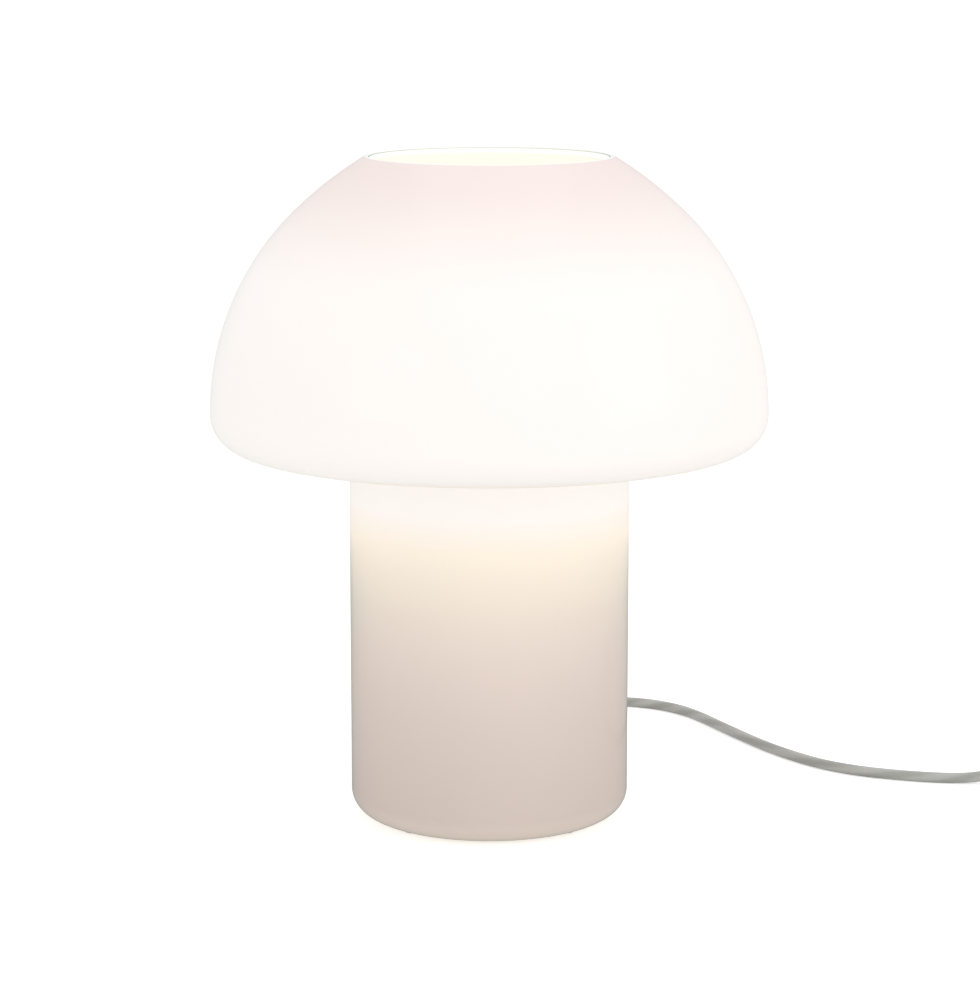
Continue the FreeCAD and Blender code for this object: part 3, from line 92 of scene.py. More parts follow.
def add_node(tree: bpy.types.NodeTree, kind: str, settings: dict[str, Any], **links: Any) -> bpy.types.Node:
    """Adds a node with its settings and links.

    Args:
        tree: the material's or world's tree.
        kind: the node's type without "ShaderNode".
        settings: values of sockets and of the node's own fields.
        links: what feeds each socket, with _ for a space in its name.

    Returns:
        The node.
    """
    node = tree.nodes.new(f"ShaderNode{kind}")
    for name, value in settings.items():
        if name in node.inputs:
            node.inputs[name].default_value = value
        elif name.isdigit():
            node.inputs[int(name)].default_value = value
        else:
            setattr(node, name, value)
    for name, output in links.items():
        socket = node.inputs[int(name[1:])] if name[1:].isdigit() else node.inputs[name.replace("_", " ")]
        tree.links.new(output, socket)
    return node


def new_material(name: str) -> tuple[bpy.types.Material, bpy.types.NodeTree, bpy.types.Node]:
    """Makes a material with an empty tree.

    Args:
        name: its name.

    Returns:
        The material, its tree and its output node.
    """
    material = bpy.data.materials.new(name)
    material.use_nodes = True
    material.node_tree.nodes.clear()
    output = add_node(material.node_tree, "OutputMaterial", {})
    return material, material.node_tree, output


@dataclass(frozen=True)
class Finish:
    """A finish with an uneven tone and a fine relief, whose patterns have real sizes in millimetres."""

    name: str
    colour: str
    shade: str
    roughness: float
    mottle_mm: float = 12.0
    grain_mm: float = 0.5
    relief_mm: float = 0.01
    spread: float = 0.08
    metallic: float = 0.0
    ior: float = 1.5
    coat: float = 0.0
    coat_roughness: float = 0.08
    stretch: Point = (1.0, 1.0, 1.0)
    mottle_detail: float = 4.0
    grain_detail: float = 3.0
    bump: float = 0.6

    def tone(self, tree: bpy.types.NodeTree, coords: bpy.types.Node) -> bpy.types.NodeSocket:
        """Gives the uneven colour.

        Args:
            tree: the material's tree.
            coords: its coordinates.

        Returns:
            The colour.
        """
        mottle = add_node(
            tree,
            "TexNoise",
            {"Scale": 1 / (self.mottle_mm * MM), "Detail": self.mottle_detail},
            Vector=coords.outputs["Object"],
        )
        return add_node(
            tree,
            "Mix",
            {"data_type": "RGBA", "6": linear(self.colour), "7": linear(self.shade)},
            Factor=mottle.outputs["Fac"],
        ).outputs["Result"]

    def material(self) -> bpy.types.Material:
        """Builds the material, once for each finish.

        Returns:
            The material.
        """
        if self.name in bpy.data.materials:
            return bpy.data.materials[self.name]
        material, tree, output = new_material(self.name)
        coords = add_node(tree, "TexCoord", {})
        grained = add_node(tree, "Mapping", {"Scale": self.stretch}, Vector=coords.outputs["Object"])
        grain = add_node(
            tree,
            "TexNoise",
            {"Scale": 1 / (self.grain_mm * MM), "Detail": self.grain_detail},
            Vector=grained.outputs["Vector"],
        )
        rough = add_node(
            tree,
            "MapRange",
            {"To Min": self.roughness - self.spread, "To Max": self.roughness + self.spread},
            Value=grain.outputs["Fac"],
        )
        bump = add_node(
            tree,
            "Bump",
            {"Strength": self.bump, "Distance": self.relief_mm * MM},
            Height=grain.outputs["Fac"],
        )
        shader = add_node(
            tree,
            "BsdfPrincipled",
            {
                "Metallic": self.metallic,
                "Coat Weight": self.coat,
                "Coat Roughness": self.coat_roughness,
            },
            Base_Color=self.tone(tree, coords),
            Roughness=rough.outputs["Result"],
            Normal=bump.outputs["Normal"],
        )
        if self.metallic == 0.0:
            shader.inputs["IOR"].default_value = self.ior
        tree.links.new(shader.outputs["BSDF"], output.inputs["Surface"])
        return material


@dataclass(frozen=True)
class HalfClearJacket(Finish):
    """A half-clear jacket round two twisted cores, which show through it as soft bands that wind along.
    The bands go round as many times as there are lays in the length."""

    core: str = "A9AAA5"
    cores: int = 2
    lays: float = 7.0

    def tone(self, tree: bpy.types.NodeTree, coords: bpy.types.Node) -> bpy.types.NodeSocket:
        """Gives the uneven colour with the bands of the cores, which follow the lead's own UV map.

        Args:
            tree: the material's tree.
            coords: its coordinates.

        Returns:
            The colour.
        """
        along = add_node(tree, "SeparateXYZ", {}, Vector=coords.outputs["UV"])
        wound = add_node(
            tree,
            "Math",
            {"operation": "MULTIPLY_ADD", "1": self.lays},
            _0=along.outputs["X"],
            _2=along.outputs["Y"],
        )
        # Each core gives one band round the lead.
        angle = add_node(
            tree, "Math", {"operation": "MULTIPLY", "1": self.cores * math.tau}, _0=wound.outputs["Value"]
        )
        wave = add_node(tree, "Math", {"operation": "SINE"}, _0=angle.outputs["Value"])
        near = add_node(
            tree,
            "MapRange",
            {"interpolation_type": "SMOOTHSTEP", "From Min": -1.0},
            Value=wave.outputs["Value"],
        )
        return add_node(
            tree,
            "Mix",
            {"data_type": "RGBA", "7": linear(self.core)},
            Factor=near.outputs["Result"],
            _6=super().tone(tree, coords),
        ).outputs["Result"]


@dataclass(frozen=True)
class OpalGlass(Finish):
    """White opal glass, blown. The bulb's light in the wall is painted on as a glow: the bulb lights each
    place of the wall by its distance and its slant, and the glass answers with a painted glow. Its clear skin
    takes some light at a flat angle, which draws its edge. The answer holds the painted glow's colour at
    rising levels of the bulb's light. Sizes in millimetres."""

    coat_roughness: float = 0.12
    mottle_detail: float = 2.0
    grain_detail: float = 1.0
    bump: float = 0.5
    bulb: Point = (0.0, 0.0, 235.0)
    full_light_at: float = 100.0
    answer: tuple[tuple[float, str], ...] = ()
    # The painted glow is dimmed and tinted rose between these heights, towards the mouth.
    mouth_dimming_from: float = 245.0
    mouth: float = 300.0
    painted_mouth_dimming: str = "FFFFFF"
    strength: float = 1.0
    skin: float = 0.085
    bright_skin: float = 0.014
    skin_until: float = 0.2
    bright_skin_from: float = 0.36
    least_cosine: float = 0.06
    thick_cloud: float = 0.985
    thin_cloud: float = 1.01

    def lit_by_bulb(self, tree: bpy.types.NodeTree, coords: bpy.types.Node) -> bpy.types.NodeSocket:
        """Works out how strongly the bulb lights the wall, where 1 is face on at full_light_at.

        Args:
            tree: the material's tree.
            coords: its coordinates.

        Returns:
            The strength.
        """
        ray = add_node(
            tree,
            "VectorMath",
            {"operation": "SUBTRACT", "1": tuple(c * MM for c in self.bulb)},
            _0=coords.outputs["Object"],
        ).outputs["Vector"]
        far = add_node(tree, "VectorMath", {"operation": "LENGTH"}, _0=ray).outputs["Value"]
        towards = add_node(tree, "VectorMath", {"operation": "NORMALIZE"}, _0=ray).outputs["Vector"]
        slant = add_node(
            tree, "VectorMath", {"operation": "DOT_PRODUCT"}, _0=towards, _1=coords.outputs["Normal"]
        ).outputs["Value"]
        facing = add_node(tree, "Math", {"operation": "ABSOLUTE"}, _0=slant).outputs["Value"]
        near = add_node(
            tree, "Math", {"operation": "DIVIDE", "0": self.full_light_at * MM}, _1=far
        ).outputs["Value"]
        square = add_node(tree, "Math", {"operation": "MULTIPLY"}, _0=near, _1=near).outputs["Value"]
        return add_node(tree, "Math", {"operation": "MULTIPLY"}, _0=square, _1=facing).outputs["Value"]

    def ramp(self, tree: bpy.types.NodeTree, value: bpy.types.NodeSocket) -> bpy.types.NodeSocket:
        """Turns the bulb's light into the colour of the painted glow.

        Args:
            tree: the material's tree.
            value: how strongly the bulb lights the wall.

        Returns:
            The colour.
        """
        highest = self.answer[-1][0]
        share = add_node(tree, "MapRange", {"From Max": highest}, Value=value)
        ramp = add_node(tree, "ValToRGB", {}, Fac=share.outputs["Result"])
        stops = ramp.color_ramp.elements
        while len(stops) < len(self.answer):
            stops.new(0.5)
        for stop, (level, colour) in zip(stops, self.answer):
            stop.position = level / highest
            stop.color = linear(colour)
        return ramp.outputs["Color"]

    def edge(self, tree: bpy.types.NodeTree, lit: bpy.types.NodeSocket) -> bpy.types.NodeSocket:
        """Gives the share of light that gets through the clear skin at the angle of sight.

        Args:
            tree: the material's tree.
            lit: how strongly the bulb lights the wall, which drowns the loss where it is strong.

        Returns:
            The share.
        """
        facing = add_node(tree, "LayerWeight", {"Blend": 0.5}).outputs["Facing"]
        cosine = add_node(tree, "Math", {"operation": "SUBTRACT", "0": 1.0}, _1=facing)
        limited = add_node(
            tree, "Math", {"operation": "MAXIMUM", "1": self.least_cosine}, _0=cosine.outputs["Value"]
        )
        path = add_node(tree, "Math", {"operation": "DIVIDE", "0": 1.0}, _1=limited.outputs["Value"])
        longer = add_node(tree, "Math", {"operation": "SUBTRACT", "0": 1.0}, _1=path.outputs["Value"])
        per_path = add_node(
            tree,
            "MapRange",
            {
                "From Min": self.skin_until,
                "From Max": self.bright_skin_from,
                "To Min": self.skin,
                "To Max": self.bright_skin,
            },
            Value=lit,
        )
        loss = add_node(
            tree,
            "Math",
            {"operation": "MULTIPLY"},
            _0=longer.outputs["Value"],
            _1=per_path.outputs["Result"],
        )
        return add_node(tree, "Math", {"operation": "EXPONENT"}, _0=loss.outputs["Value"]).outputs["Value"]

    def material(self) -> bpy.types.Material:
        """Builds the material, once for each finish.

        Returns:
            The material.
        """
        if self.name in bpy.data.materials:
            return bpy.data.materials[self.name]
        material, tree, output = new_material(self.name)
        coords = add_node(tree, "TexCoord", {})
        place = coords.outputs["Object"]
        lit = self.lit_by_bulb(tree, coords)
        height = add_node(tree, "SeparateXYZ", {}, Vector=place).outputs["Z"]
        # Painted shade on the glow: towards the mouth, the painted glow is dimmed and tinted rose.
        near_mouth = add_node(
            tree,
            "MapRange",
            {
                "interpolation_type": "SMOOTHSTEP",
                "From Min": self.mouth_dimming_from * MM,
                "From Max": self.mouth * MM,
            },
            Value=height,
        )
        painted_mouth_dimming = add_node(
            tree,
            "Mix",
            {"data_type": "RGBA", "6": WHITE, "7": linear(self.painted_mouth_dimming)},
            Factor=near_mouth.outputs["Result"],
        )
        # The gather varies a little in thickness, which shows as faint clouds.
        cloud = add_node(
            tree,
            "TexNoise",
            {"Scale": 1 / (self.mottle_mm * MM), "Detail": self.mottle_detail},
            Vector=place,
        )
        clouded = add_node(
            tree,
            "MapRange",
            {"To Min": self.thick_cloud, "To Max": self.thin_cloud},
            Value=cloud.outputs["Fac"],
        )
        kept = add_node(
            tree, "Math", {"operation": "MULTIPLY"}, _0=self.edge(tree, lit), _1=clouded.outputs["Result"]
        )
        edge_tint = add_node(
            tree,
            "Mix",
            {"data_type": "RGBA", "6": linear(self.shade), "7": WHITE},
            Factor=kept.outputs["Value"],
        )
        body = add_node(
            tree,
            "Mix",
            {"data_type": "RGBA", "blend_type": "MULTIPLY", "Factor": 1.0, "6": linear(self.colour)},
            _7=edge_tint.outputs["Result"],
        )
        # Painted glow: the bulb's light on the wall, painted on as emission by its distance and slant.
        light = self.ramp(tree, lit)
        for tint in (painted_mouth_dimming, edge_tint):
            light = add_node(
                tree,
                "Mix",
                {"data_type": "RGBA", "blend_type": "MULTIPLY", "Factor": 1.0},
                _6=light,
                _7=tint.outputs["Result"],
            ).outputs["Result"]
        wave = add_node(
            tree,
            "TexNoise",
            {"Scale": 1 / (self.grain_mm * MM), "Detail": self.grain_detail},
            Vector=place,
        )
        bump = add_node(
            tree,
            "Bump",
            {"Strength": self.bump, "Distance": self.relief_mm * MM},
            Height=wave.outputs["Fac"],
        )
        shader = add_node(
            tree,
            "BsdfPrincipled",
            {
                "Roughness": self.roughness,
                "IOR": self.ior,
                "Specular IOR Level": 0.0,
                "Coat Weight": self.coat,
                "Coat Roughness": self.coat_roughness,
                "Emission Strength": self.strength,
            },
            Base_Color=body.outputs["Result"],
            Emission_Color=light,
            Normal=bump.outputs["Normal"],
        )
        tree.links.new(shader.outputs["BSDF"], output.inputs["Surface"])
        return material


# Opal glass: soft warm white under studio light, clean and glossy, with a painted glow that is bright where
# the bulb is near.
SHADE_GLASS = OpalGlass(
    "blown opal glass",
    "E1D1C9",
    "6C8F95",
    0.16,
    mottle_mm=45.0,
    grain_mm=60.0,
    relief_mm=0.25,
    coat=0.2,
    answer=((0.0, "000000"), (0.13, "736D67"), (0.24, "929180"), (0.36, "A6A595"), (0.5, "ABB3B5")),
    painted_mouth_dimming="E2D1D4",
)
# Its inner face, a lit copy of the glass whose painted glow is brighter, as the bulb lights it directly:
# nearly white.
INNER_GLASS = OpalGlass(
    "blown opal glass inside",
    "DEDAD2",
    "6C8F95",
    0.16,
    mottle_mm=45.0,
    grain_mm=60.0,
    relief_mm=0.25,
    coat=0.2,
    answer=((0.0, "1A1610"), (0.2, "8C8878"), (0.6, "A3A0A0"), (1.2, "A7A4A4")),
)
# Its rim, ground off and fire polished: a neutral white, and the painted glow on it keeps nearly white,
# without the rose of the painted shade on the glow of the wall below it.
RIM_GLASS = replace(SHADE_GLASS, name="fire polished glass rim", colour="DEDEDC", painted_mouth_dimming="FFFDFA")
# The same glass as a lamp bulb, over the filament's own strong warm light.
BULB_GLASS = OpalGlass(
    "opal bulb glass",
    "DCD6CA",
    "A39A88",
    0.2,
    answer=((0.0, "000000"), (4.0, "CFC9BC"), (12.0, "D6D0C4")),
    bright_skin=0.1,
)
# Flexible PVC, extruded, grey and half clear: a smooth waxy gloss, with the cores as darker bands in it.
LEAD_PVC = HalfClearJacket(
    "extruded grey pvc", "B9BAB6", "C2C3BF", 0.3, mottle_mm=9.0, grain_mm=1.5, relief_mm=0.02
)
# The same lead where it is put away: about three times as long, so it has three times as many lays.
COILED_PVC = replace(LEAD_PVC, name="extruded grey pvc coiled", lays=21.0)
# Soft PVC of the sleeve, moulded: paler than the lead, dull along its taper.
SLEEVE_PVC = Finish("moulded clear pvc", "B9BAB8", "C6C7C5", 0.34, mottle_mm=8.0, grain_mm=0.8)
# ABS, moulded on a finely spark-eroded tool: a half gloss with a very fine grain.
SWITCH_ABS = Finish("moulded white abs", "DEDEDB", "E6E6E3", 0.36, grain_mm=0.45, relief_mm=0.012)
# ABS of the rocker, moulded on a polished tool: whiter and glossier than its housing.
ROCKER_ABS = Finish("polished white abs", "E9E9E6", "EFEFEC", 0.2, grain_mm=1.2, relief_mm=0.004)
# PVC of the plug, moulded over its pins: a soft gloss.
PLUG_PVC = Finish("moulded white pvc", "D8D8D4", "E0E0DC", 0.4, grain_mm=0.6, relief_mm=0.015)
# Nylon of the tie, moulded thin: waxy.
TIE_NYLON = Finish("moulded nylon", "CFCFCC", "D6D6D3", 0.42, grain_mm=0.7)
# PBT of the lampholder and the cord clamp, pressed in a hard tool: even and satin.
HOLDER_PBT = Finish("pressed white pbt", "E4E1DA", "EAE7E0", 0.38, grain_mm=0.6)
# Steatite, pressed and fired: unglazed and cream, with fine darker specks.
STEATITE = Finish("pressed steatite", "DCD6CA", "CFC8BA", 0.7, mottle_mm=1.5, grain_mm=0.4, relief_mm=0.02)
# Steel with a powder coat: a soft orange peel.
POWDER_COAT = Finish("white powder coat", "E2E0DC", "E8E6E2", 0.35, grain_mm=1.1, relief_mm=0.03)
# Steel sheet, screws and turned parts, zinc plated: cool grey with a slight bloom.
ZINC = Finish(
    "zinc plated steel",
    "B4B7BA",
    "9DA1A5",
    0.32,
    mottle_mm=4.0,
    grain_mm=0.35,
    metallic=1.0,
    stretch=(1, 1, 6),
)
# Drawn and plated thin metal of the bulb's cap and the plug's pins: bright, with draw lines round it.
NICKEL = Finish(
    "nickel plated brass",
    "C9C6BF",
    "B9B5AC",
    0.2,
    mottle_mm=5.0,
    grain_mm=0.5,
    metallic=1.0,
    stretch=(1, 1, 5),
)
# Pressed brass: warm, slightly uneven.
BRASS = Finish("pressed brass", "C9A25A", "B88F48", 0.26, mottle_mm=4.0, grain_mm=0.4, metallic=1.0)
# Tin solder of the bulb's contact, set from a drop: dull, with fine ripples.
SOLDER = Finish(
    "tin solder", "A8A9AB", "8F9093", 0.4, mottle_mm=2.0, grain_mm=0.6, relief_mm=0.08, metallic=1.0
)
# Vitrite, the dark pressed glass at the bulb's end: smooth and nearly black.
VITRITE = Finish("dark vitrite glass", "14131A", "1E1C24", 0.12, mottle_mm=3.0)
# Rubber washers, stamped from sheet: dull black, dusty.
RUBBER = Finish("stamped black rubber", "1B1B1B", "262626", 0.75, grain_mm=0.3, relief_mm=0.03)
# White rubber of the column's grommet, moulded: pale and dull.
WHITE_RUBBER = Finish("moulded white rubber", "D2D2CE", "DADAD6", 0.6, grain_mm=0.5)
# Polyurethane of the pads, cast: smooth and clear, which looks pale grey on the glass.
PAD_CLEAR = Finish("cast clear pads", "C9CBC9", "D2D4D2", 0.1, mottle_mm=2.0)
# PVC of the bared cores, extruded: brown, with a slight gloss.
CORE_PVC = Finish("coloured core pvc", "4A3A30", "57463B", 0.4, grain_mm=0.8)


def dress(node: str, finish: Finish) -> None:
    """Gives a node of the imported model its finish.

    Args:
        node: the node's name.
        finish: what it is made of.
    """
    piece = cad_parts[node]
    piece.data.materials.clear()
    piece.data.materials.append(finish.material())
    LOG.info("dressed %s in %s", node, finish.name)


def finish_piece(
    piece: bpy.types.Object, finish: Finish, body: Body, replaced: tuple[str, ...]
) -> None:
    """Args:
        piece: the new piece.
        finish: what it is made of.
        body: what it moves with.
        replaced: the nodes that it stands for.
    """
    piece.data.materials.clear()
    piece.data.materials.append(finish.material())
    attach(piece, body.value)
    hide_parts(*replaced)
    LOG.info("made %s in %s", piece.name, finish.name)


def arc(across: float, up: float, radius: float, start: float, end: float, count: int) -> Outline:
    """Points of an arc of an outline.

    Args:
        across: the centre's distance from the axis.
        up: the centre's height.
        radius: the arc's radius.
        start: where it starts, in degrees.
        end: where it ends.
        count: how many points it has.

    Returns:
        The points, in the same unit as the radius.
    """
    angles = [math.radians(start + (end - start) * i / (count - 1)) for i in range(count)]
    return [(across + radius * math.cos(a), up + radius * math.sin(a)) for a in angles]


def spun(name: str, outline: Outline, steps: int) -> bpy.types.Object:
    """Spins the outline of a wall once round the lamp's axis.

    Args:
        name: the piece's name.
        outline: the closed outline in millimetres, as (across, up).
        steps: how many facets go round.

    Returns:
        The piece, closed, with its faces outwards.
    """
    bpy.ops.object.select_all(action="DESELECT")
    bpy.ops.mesh.primitive_circle_add(vertices=len(outline), radius=MM)
    piece = bpy.context.object
    piece.name = name
    for vertex, (across, up) in zip(piece.data.vertices, outline):
        vertex.co = (across * MM, 0.0, up * MM)
    bpy.ops.object.mode_set(mode="EDIT")
    bpy.ops.mesh.select_all(action="SELECT")
    bpy.ops.mesh.spin(steps=steps, angle=math.tau, center=(0, 0, 0), axis=(0, 0, 1))
    bpy.ops.mesh.select_all(action="SELECT")
    bpy.ops.mesh.remove_doubles(threshold=WELD)
    bpy.ops.mesh.normals_make_consistent(inside=False)
    bpy.ops.object.mode_set(mode="OBJECT")
    bpy.ops.object.shade_smooth_by_angle(angle=SMOOTH_BELOW)
    return piece


def apply_modifier(piece: bpy.types.Object, kind: str, **settings: Any) -> None:
    """Adds a modifier with its settings and applies it.

    Args:
        piece: the piece that it changes.
        kind: Blender's word for it.
        settings: its fields.
    """
    bpy.ops.object.select_all(action="DESELECT")
    bpy.context.view_layer.objects.active = piece
    piece.select_set(True)
    modifier = piece.modifiers.new(kind.lower(), kind)
    for name, value in settings.items():
        setattr(modifier, name, value)
    bpy.ops.object.modifier_apply(modifier=modifier.name)


@dataclass
class Shade:
    """The glass: cap, underside, stem and foot in one blown piece. Sizes in millimetres, turns in degrees.
    The fields named points say how many points each arc has, from the foot's recess to the rim. The rounded
    rim's depth and reach are shares of the wall."""

    height: float = 300.0
    cap: float = 125.0
    cap_turn: float = 46.0
    crown: float = 180.0
    mouth: float = 53.0
    under_turn: float = 15.0
    slope: float = 10.0
    neck: float = 12.0
    stem: float = 63.0
    wall: float = 3.0
    floor: float = 4.0
    corner: float = 11.0
    ring: float = 6.0
    foot: float = 1.2
    push_up: float = 8.0
    flat: float = 32.0
    hole: float = 4.0
    cord_up: float = 27.0
    cord_hole: float = 4.3
    drill_length: float = 12.0
    drill_steps: int = 64
    steps: int = 192
    recess_points: int = 12
    corner_points: int = 16
    inner_corner_points: int = 12
    stem_points: int = 12
    neck_points: int = 16
    turn_points: int = 24
    inner_turn_points: int = 20
    cap_points: int = 28
    crown_points: int = 12
    rim_points: int = 12
    rim_depth: float = 0.9
    rim_reach: float = 0.78

    def outline(self) -> Outline:
        """Works out the wall's closed outline.

        Returns:
            Its points, up the outer wall, over the rim and down the inner wall.
        """
        turn, slope = math.radians(self.cap_turn), math.radians(self.slope)
        shift = self.crown - self.cap
        crown_x = -shift * math.cos(turn)
        rim_x = self.mouth + self.wall / 2
        reach = self.crown - self.wall / 2
        rise = math.sqrt(reach**2 - (rim_x - crown_x) ** 2)
        crown_z = self.height - self.wall / 2 - rise
        cap_z = crown_z + shift * math.sin(turn)
        rim_z = crown_z + rise
        rim = math.degrees(math.atan2(rise, rim_x - crown_x))
        turn_x = self.cap - self.under_turn
        neck_x = self.stem + self.neck
        under_x = turn_x - self.under_turn * math.sin(slope)
        under_z = cap_z - self.under_turn * math.cos(slope)
        neck_z = (
            under_z
            + (under_x - neck_x - self.neck * math.sin(slope)) * math.tan(slope)
            - self.neck * math.cos(slope)
        )
        foot_out = self.stem - self.corner
        foot_in = foot_out - self.ring
        run = foot_in - self.flat
        recess = (run**2 + self.push_up**2) / (2 * self.push_up)
        recess_z = self.foot + self.push_up - recess
        edge = math.degrees(math.asin((self.foot - recess_z) / recess))
        inner = recess + self.floor
        inner_edge = math.degrees(math.asin((self.foot + self.floor - recess_z) / inner))
        corner_z = self.foot + self.corner
        inner_corner = self.stem - self.wall - foot_out
        inner_corner_z = self.foot + self.floor + inner_corner
        inner_turn = self.under_turn - self.wall
        rows = self.stem_points
        outer_wall = [
            (self.hole, self.foot + self.push_up),
            *arc(self.flat, recess_z, recess, 90, edge, self.recess_points),
            *arc(foot_out, corner_z, self.corner, -90, 0, self.corner_points),
            *[(self.stem, corner_z + (neck_z - corner_z) * i / rows) for i in range(1, rows)],
            *arc(neck_x, neck_z, self.neck, 180, 90 - self.slope, self.neck_points),
            *arc(turn_x, cap_z, self.under_turn, -90 - self.slope, 0, self.turn_points),
            *arc(0, cap_z, self.cap, 0, self.cap_turn, self.cap_points)[1:],
            *arc(crown_x, crown_z, self.crown, self.cap_turn, rim, self.crown_points)[1:],
        ]
        inner_wall = [
            *arc(crown_x, crown_z, self.crown - self.wall, rim, self.cap_turn, self.crown_points),
            *arc(0, cap_z, self.cap - self.wall, self.cap_turn, 0, self.cap_points)[1:],
            *arc(turn_x, cap_z, inner_turn, 0, -90 - self.slope, self.inner_turn_points)[1:],
            *arc(neck_x, neck_z, self.neck + self.wall, 90 - self.slope, 180, self.neck_points),
            *arc(foot_out, inner_corner_z, inner_corner, 0, -90, self.inner_corner_points),
            *arc(self.flat, recess_z, inner, inner_edge, 90, self.recess_points),
            (self.hole, self.foot + self.push_up + self.floor),
        ]
        round_rim = arc(rim_x, rim_z, self.wall / 2, rim, rim + 180, self.rim_points)[1:-1]
        return outer_wall + round_rim + inner_wall

    def side(self, middle: Vector, normal: Vector) -> Side:
        """Tells which side of the wall a face is on, by its place and the way it looks.

        Args:
            middle: the face's middle.
            normal: the way it faces.

        Returns:
            The side.
        """
        across, up = math.hypot(middle.x, middle.y) / MM, middle.z / MM
        outwards = normal.x * middle.x + normal.y * middle.y
        rim_foot = self.height - self.rim_depth * self.wall
        if up > rim_foot and across < self.mouth + self.rim_reach * self.wall:
            return Side.RIM
        if up < self.foot + self.floor:
            return Side.OUTSIDE
        if across < self.stem - self.corner:
            return Side.INSIDE if normal.z > 0.5 else Side.OUTSIDE
        return Side.INSIDE if outwards < 0 else Side.OUTSIDE

    def build(self) -> None:
        """Spins the glass, drills the lead's hole and dresses it."""
        glass = spun("opal_glass", self.outline(), self.steps)
        bpy.ops.object.select_all(action="DESELECT")
        # Half a step of turn keeps the drill's edges off those of the glass.
        bpy.ops.mesh.primitive_cylinder_add(
            vertices=self.drill_steps,
            radius=self.cord_hole * MM,
            depth=self.drill_length * MM,
            location=(0, (self.stem - self.wall / 2) * MM, self.cord_up * MM),
            rotation=(math.pi / 2, math.pi / self.drill_steps, 0),
        )
        drill = bpy.context.object
        apply_modifier(glass, "BOOLEAN", operation="DIFFERENCE", object=drill, solver="EXACT")
        bpy.data.objects.remove(drill)
        bpy.ops.object.shade_smooth_by_angle(angle=SMOOTH_BELOW)
        finish_piece(glass, SHADE_GLASS, Body.LAMP, ("glass_body",))
        glass.data.materials.append(INNER_GLASS.material())
        glass.data.materials.append(RIM_GLASS.material())
        for face in glass.data.polygons:
            face.material_index = self.side(face.center, face.normal).value


@dataclass
class Thread:
    """A round thread rolled into a thin sleeve, which fades out at its top over the run-out. At its foot it
    fades out too, or, with a sunk foot, starts at its full depth. Sizes in millimetres, heights from the
    table."""

    foot: float
    top: float
    sunk_foot: bool = False
    pitch: float = 3.6
    depth: float = 0.8
    run_out: float = 2.0
    row: float = 0.3

    def rows(self, across: float) -> Outline:
        """Gives the points of a plain wall that are close enough together to take the thread."""
        count = round((self.top - self.foot) / self.row)
        return [(across, self.foot + (self.top - self.foot) * i / count) for i in range(count + 1)]

    def groove(self, up: float, angle: float) -> float:
        """Gives how far the thread presses the wall in.

        Args:
            up: the height.
            angle: the way round the axis, in radians.

        Returns:
            The depth there.
        """
        low = min(max((up - self.foot) / self.run_out, 0.0), 1.0)
        high = min(max((self.top - up) / self.run_out, 0.0), 1.0)
        wave = 0.5 - 0.5 * math.cos(math.tau * up / self.pitch - angle)
        if self.sunk_foot:
            return self.depth * high * (1 - low * (1 - wave))
        return self.depth * high * low * wave

    def roll(self, sleeve: bpy.types.Object) -> None:
        """Presses the thread into a spun sleeve.

        Args:
            sleeve: the sleeve.
        """
        for vertex in sleeve.data.vertices:
            x, y, up = vertex.co / MM
            share = 1 - self.groove(up, math.atan2(y, x)) / math.hypot(x, y)
            vertex.co = Vector((x * share, y * share, up)) * MM


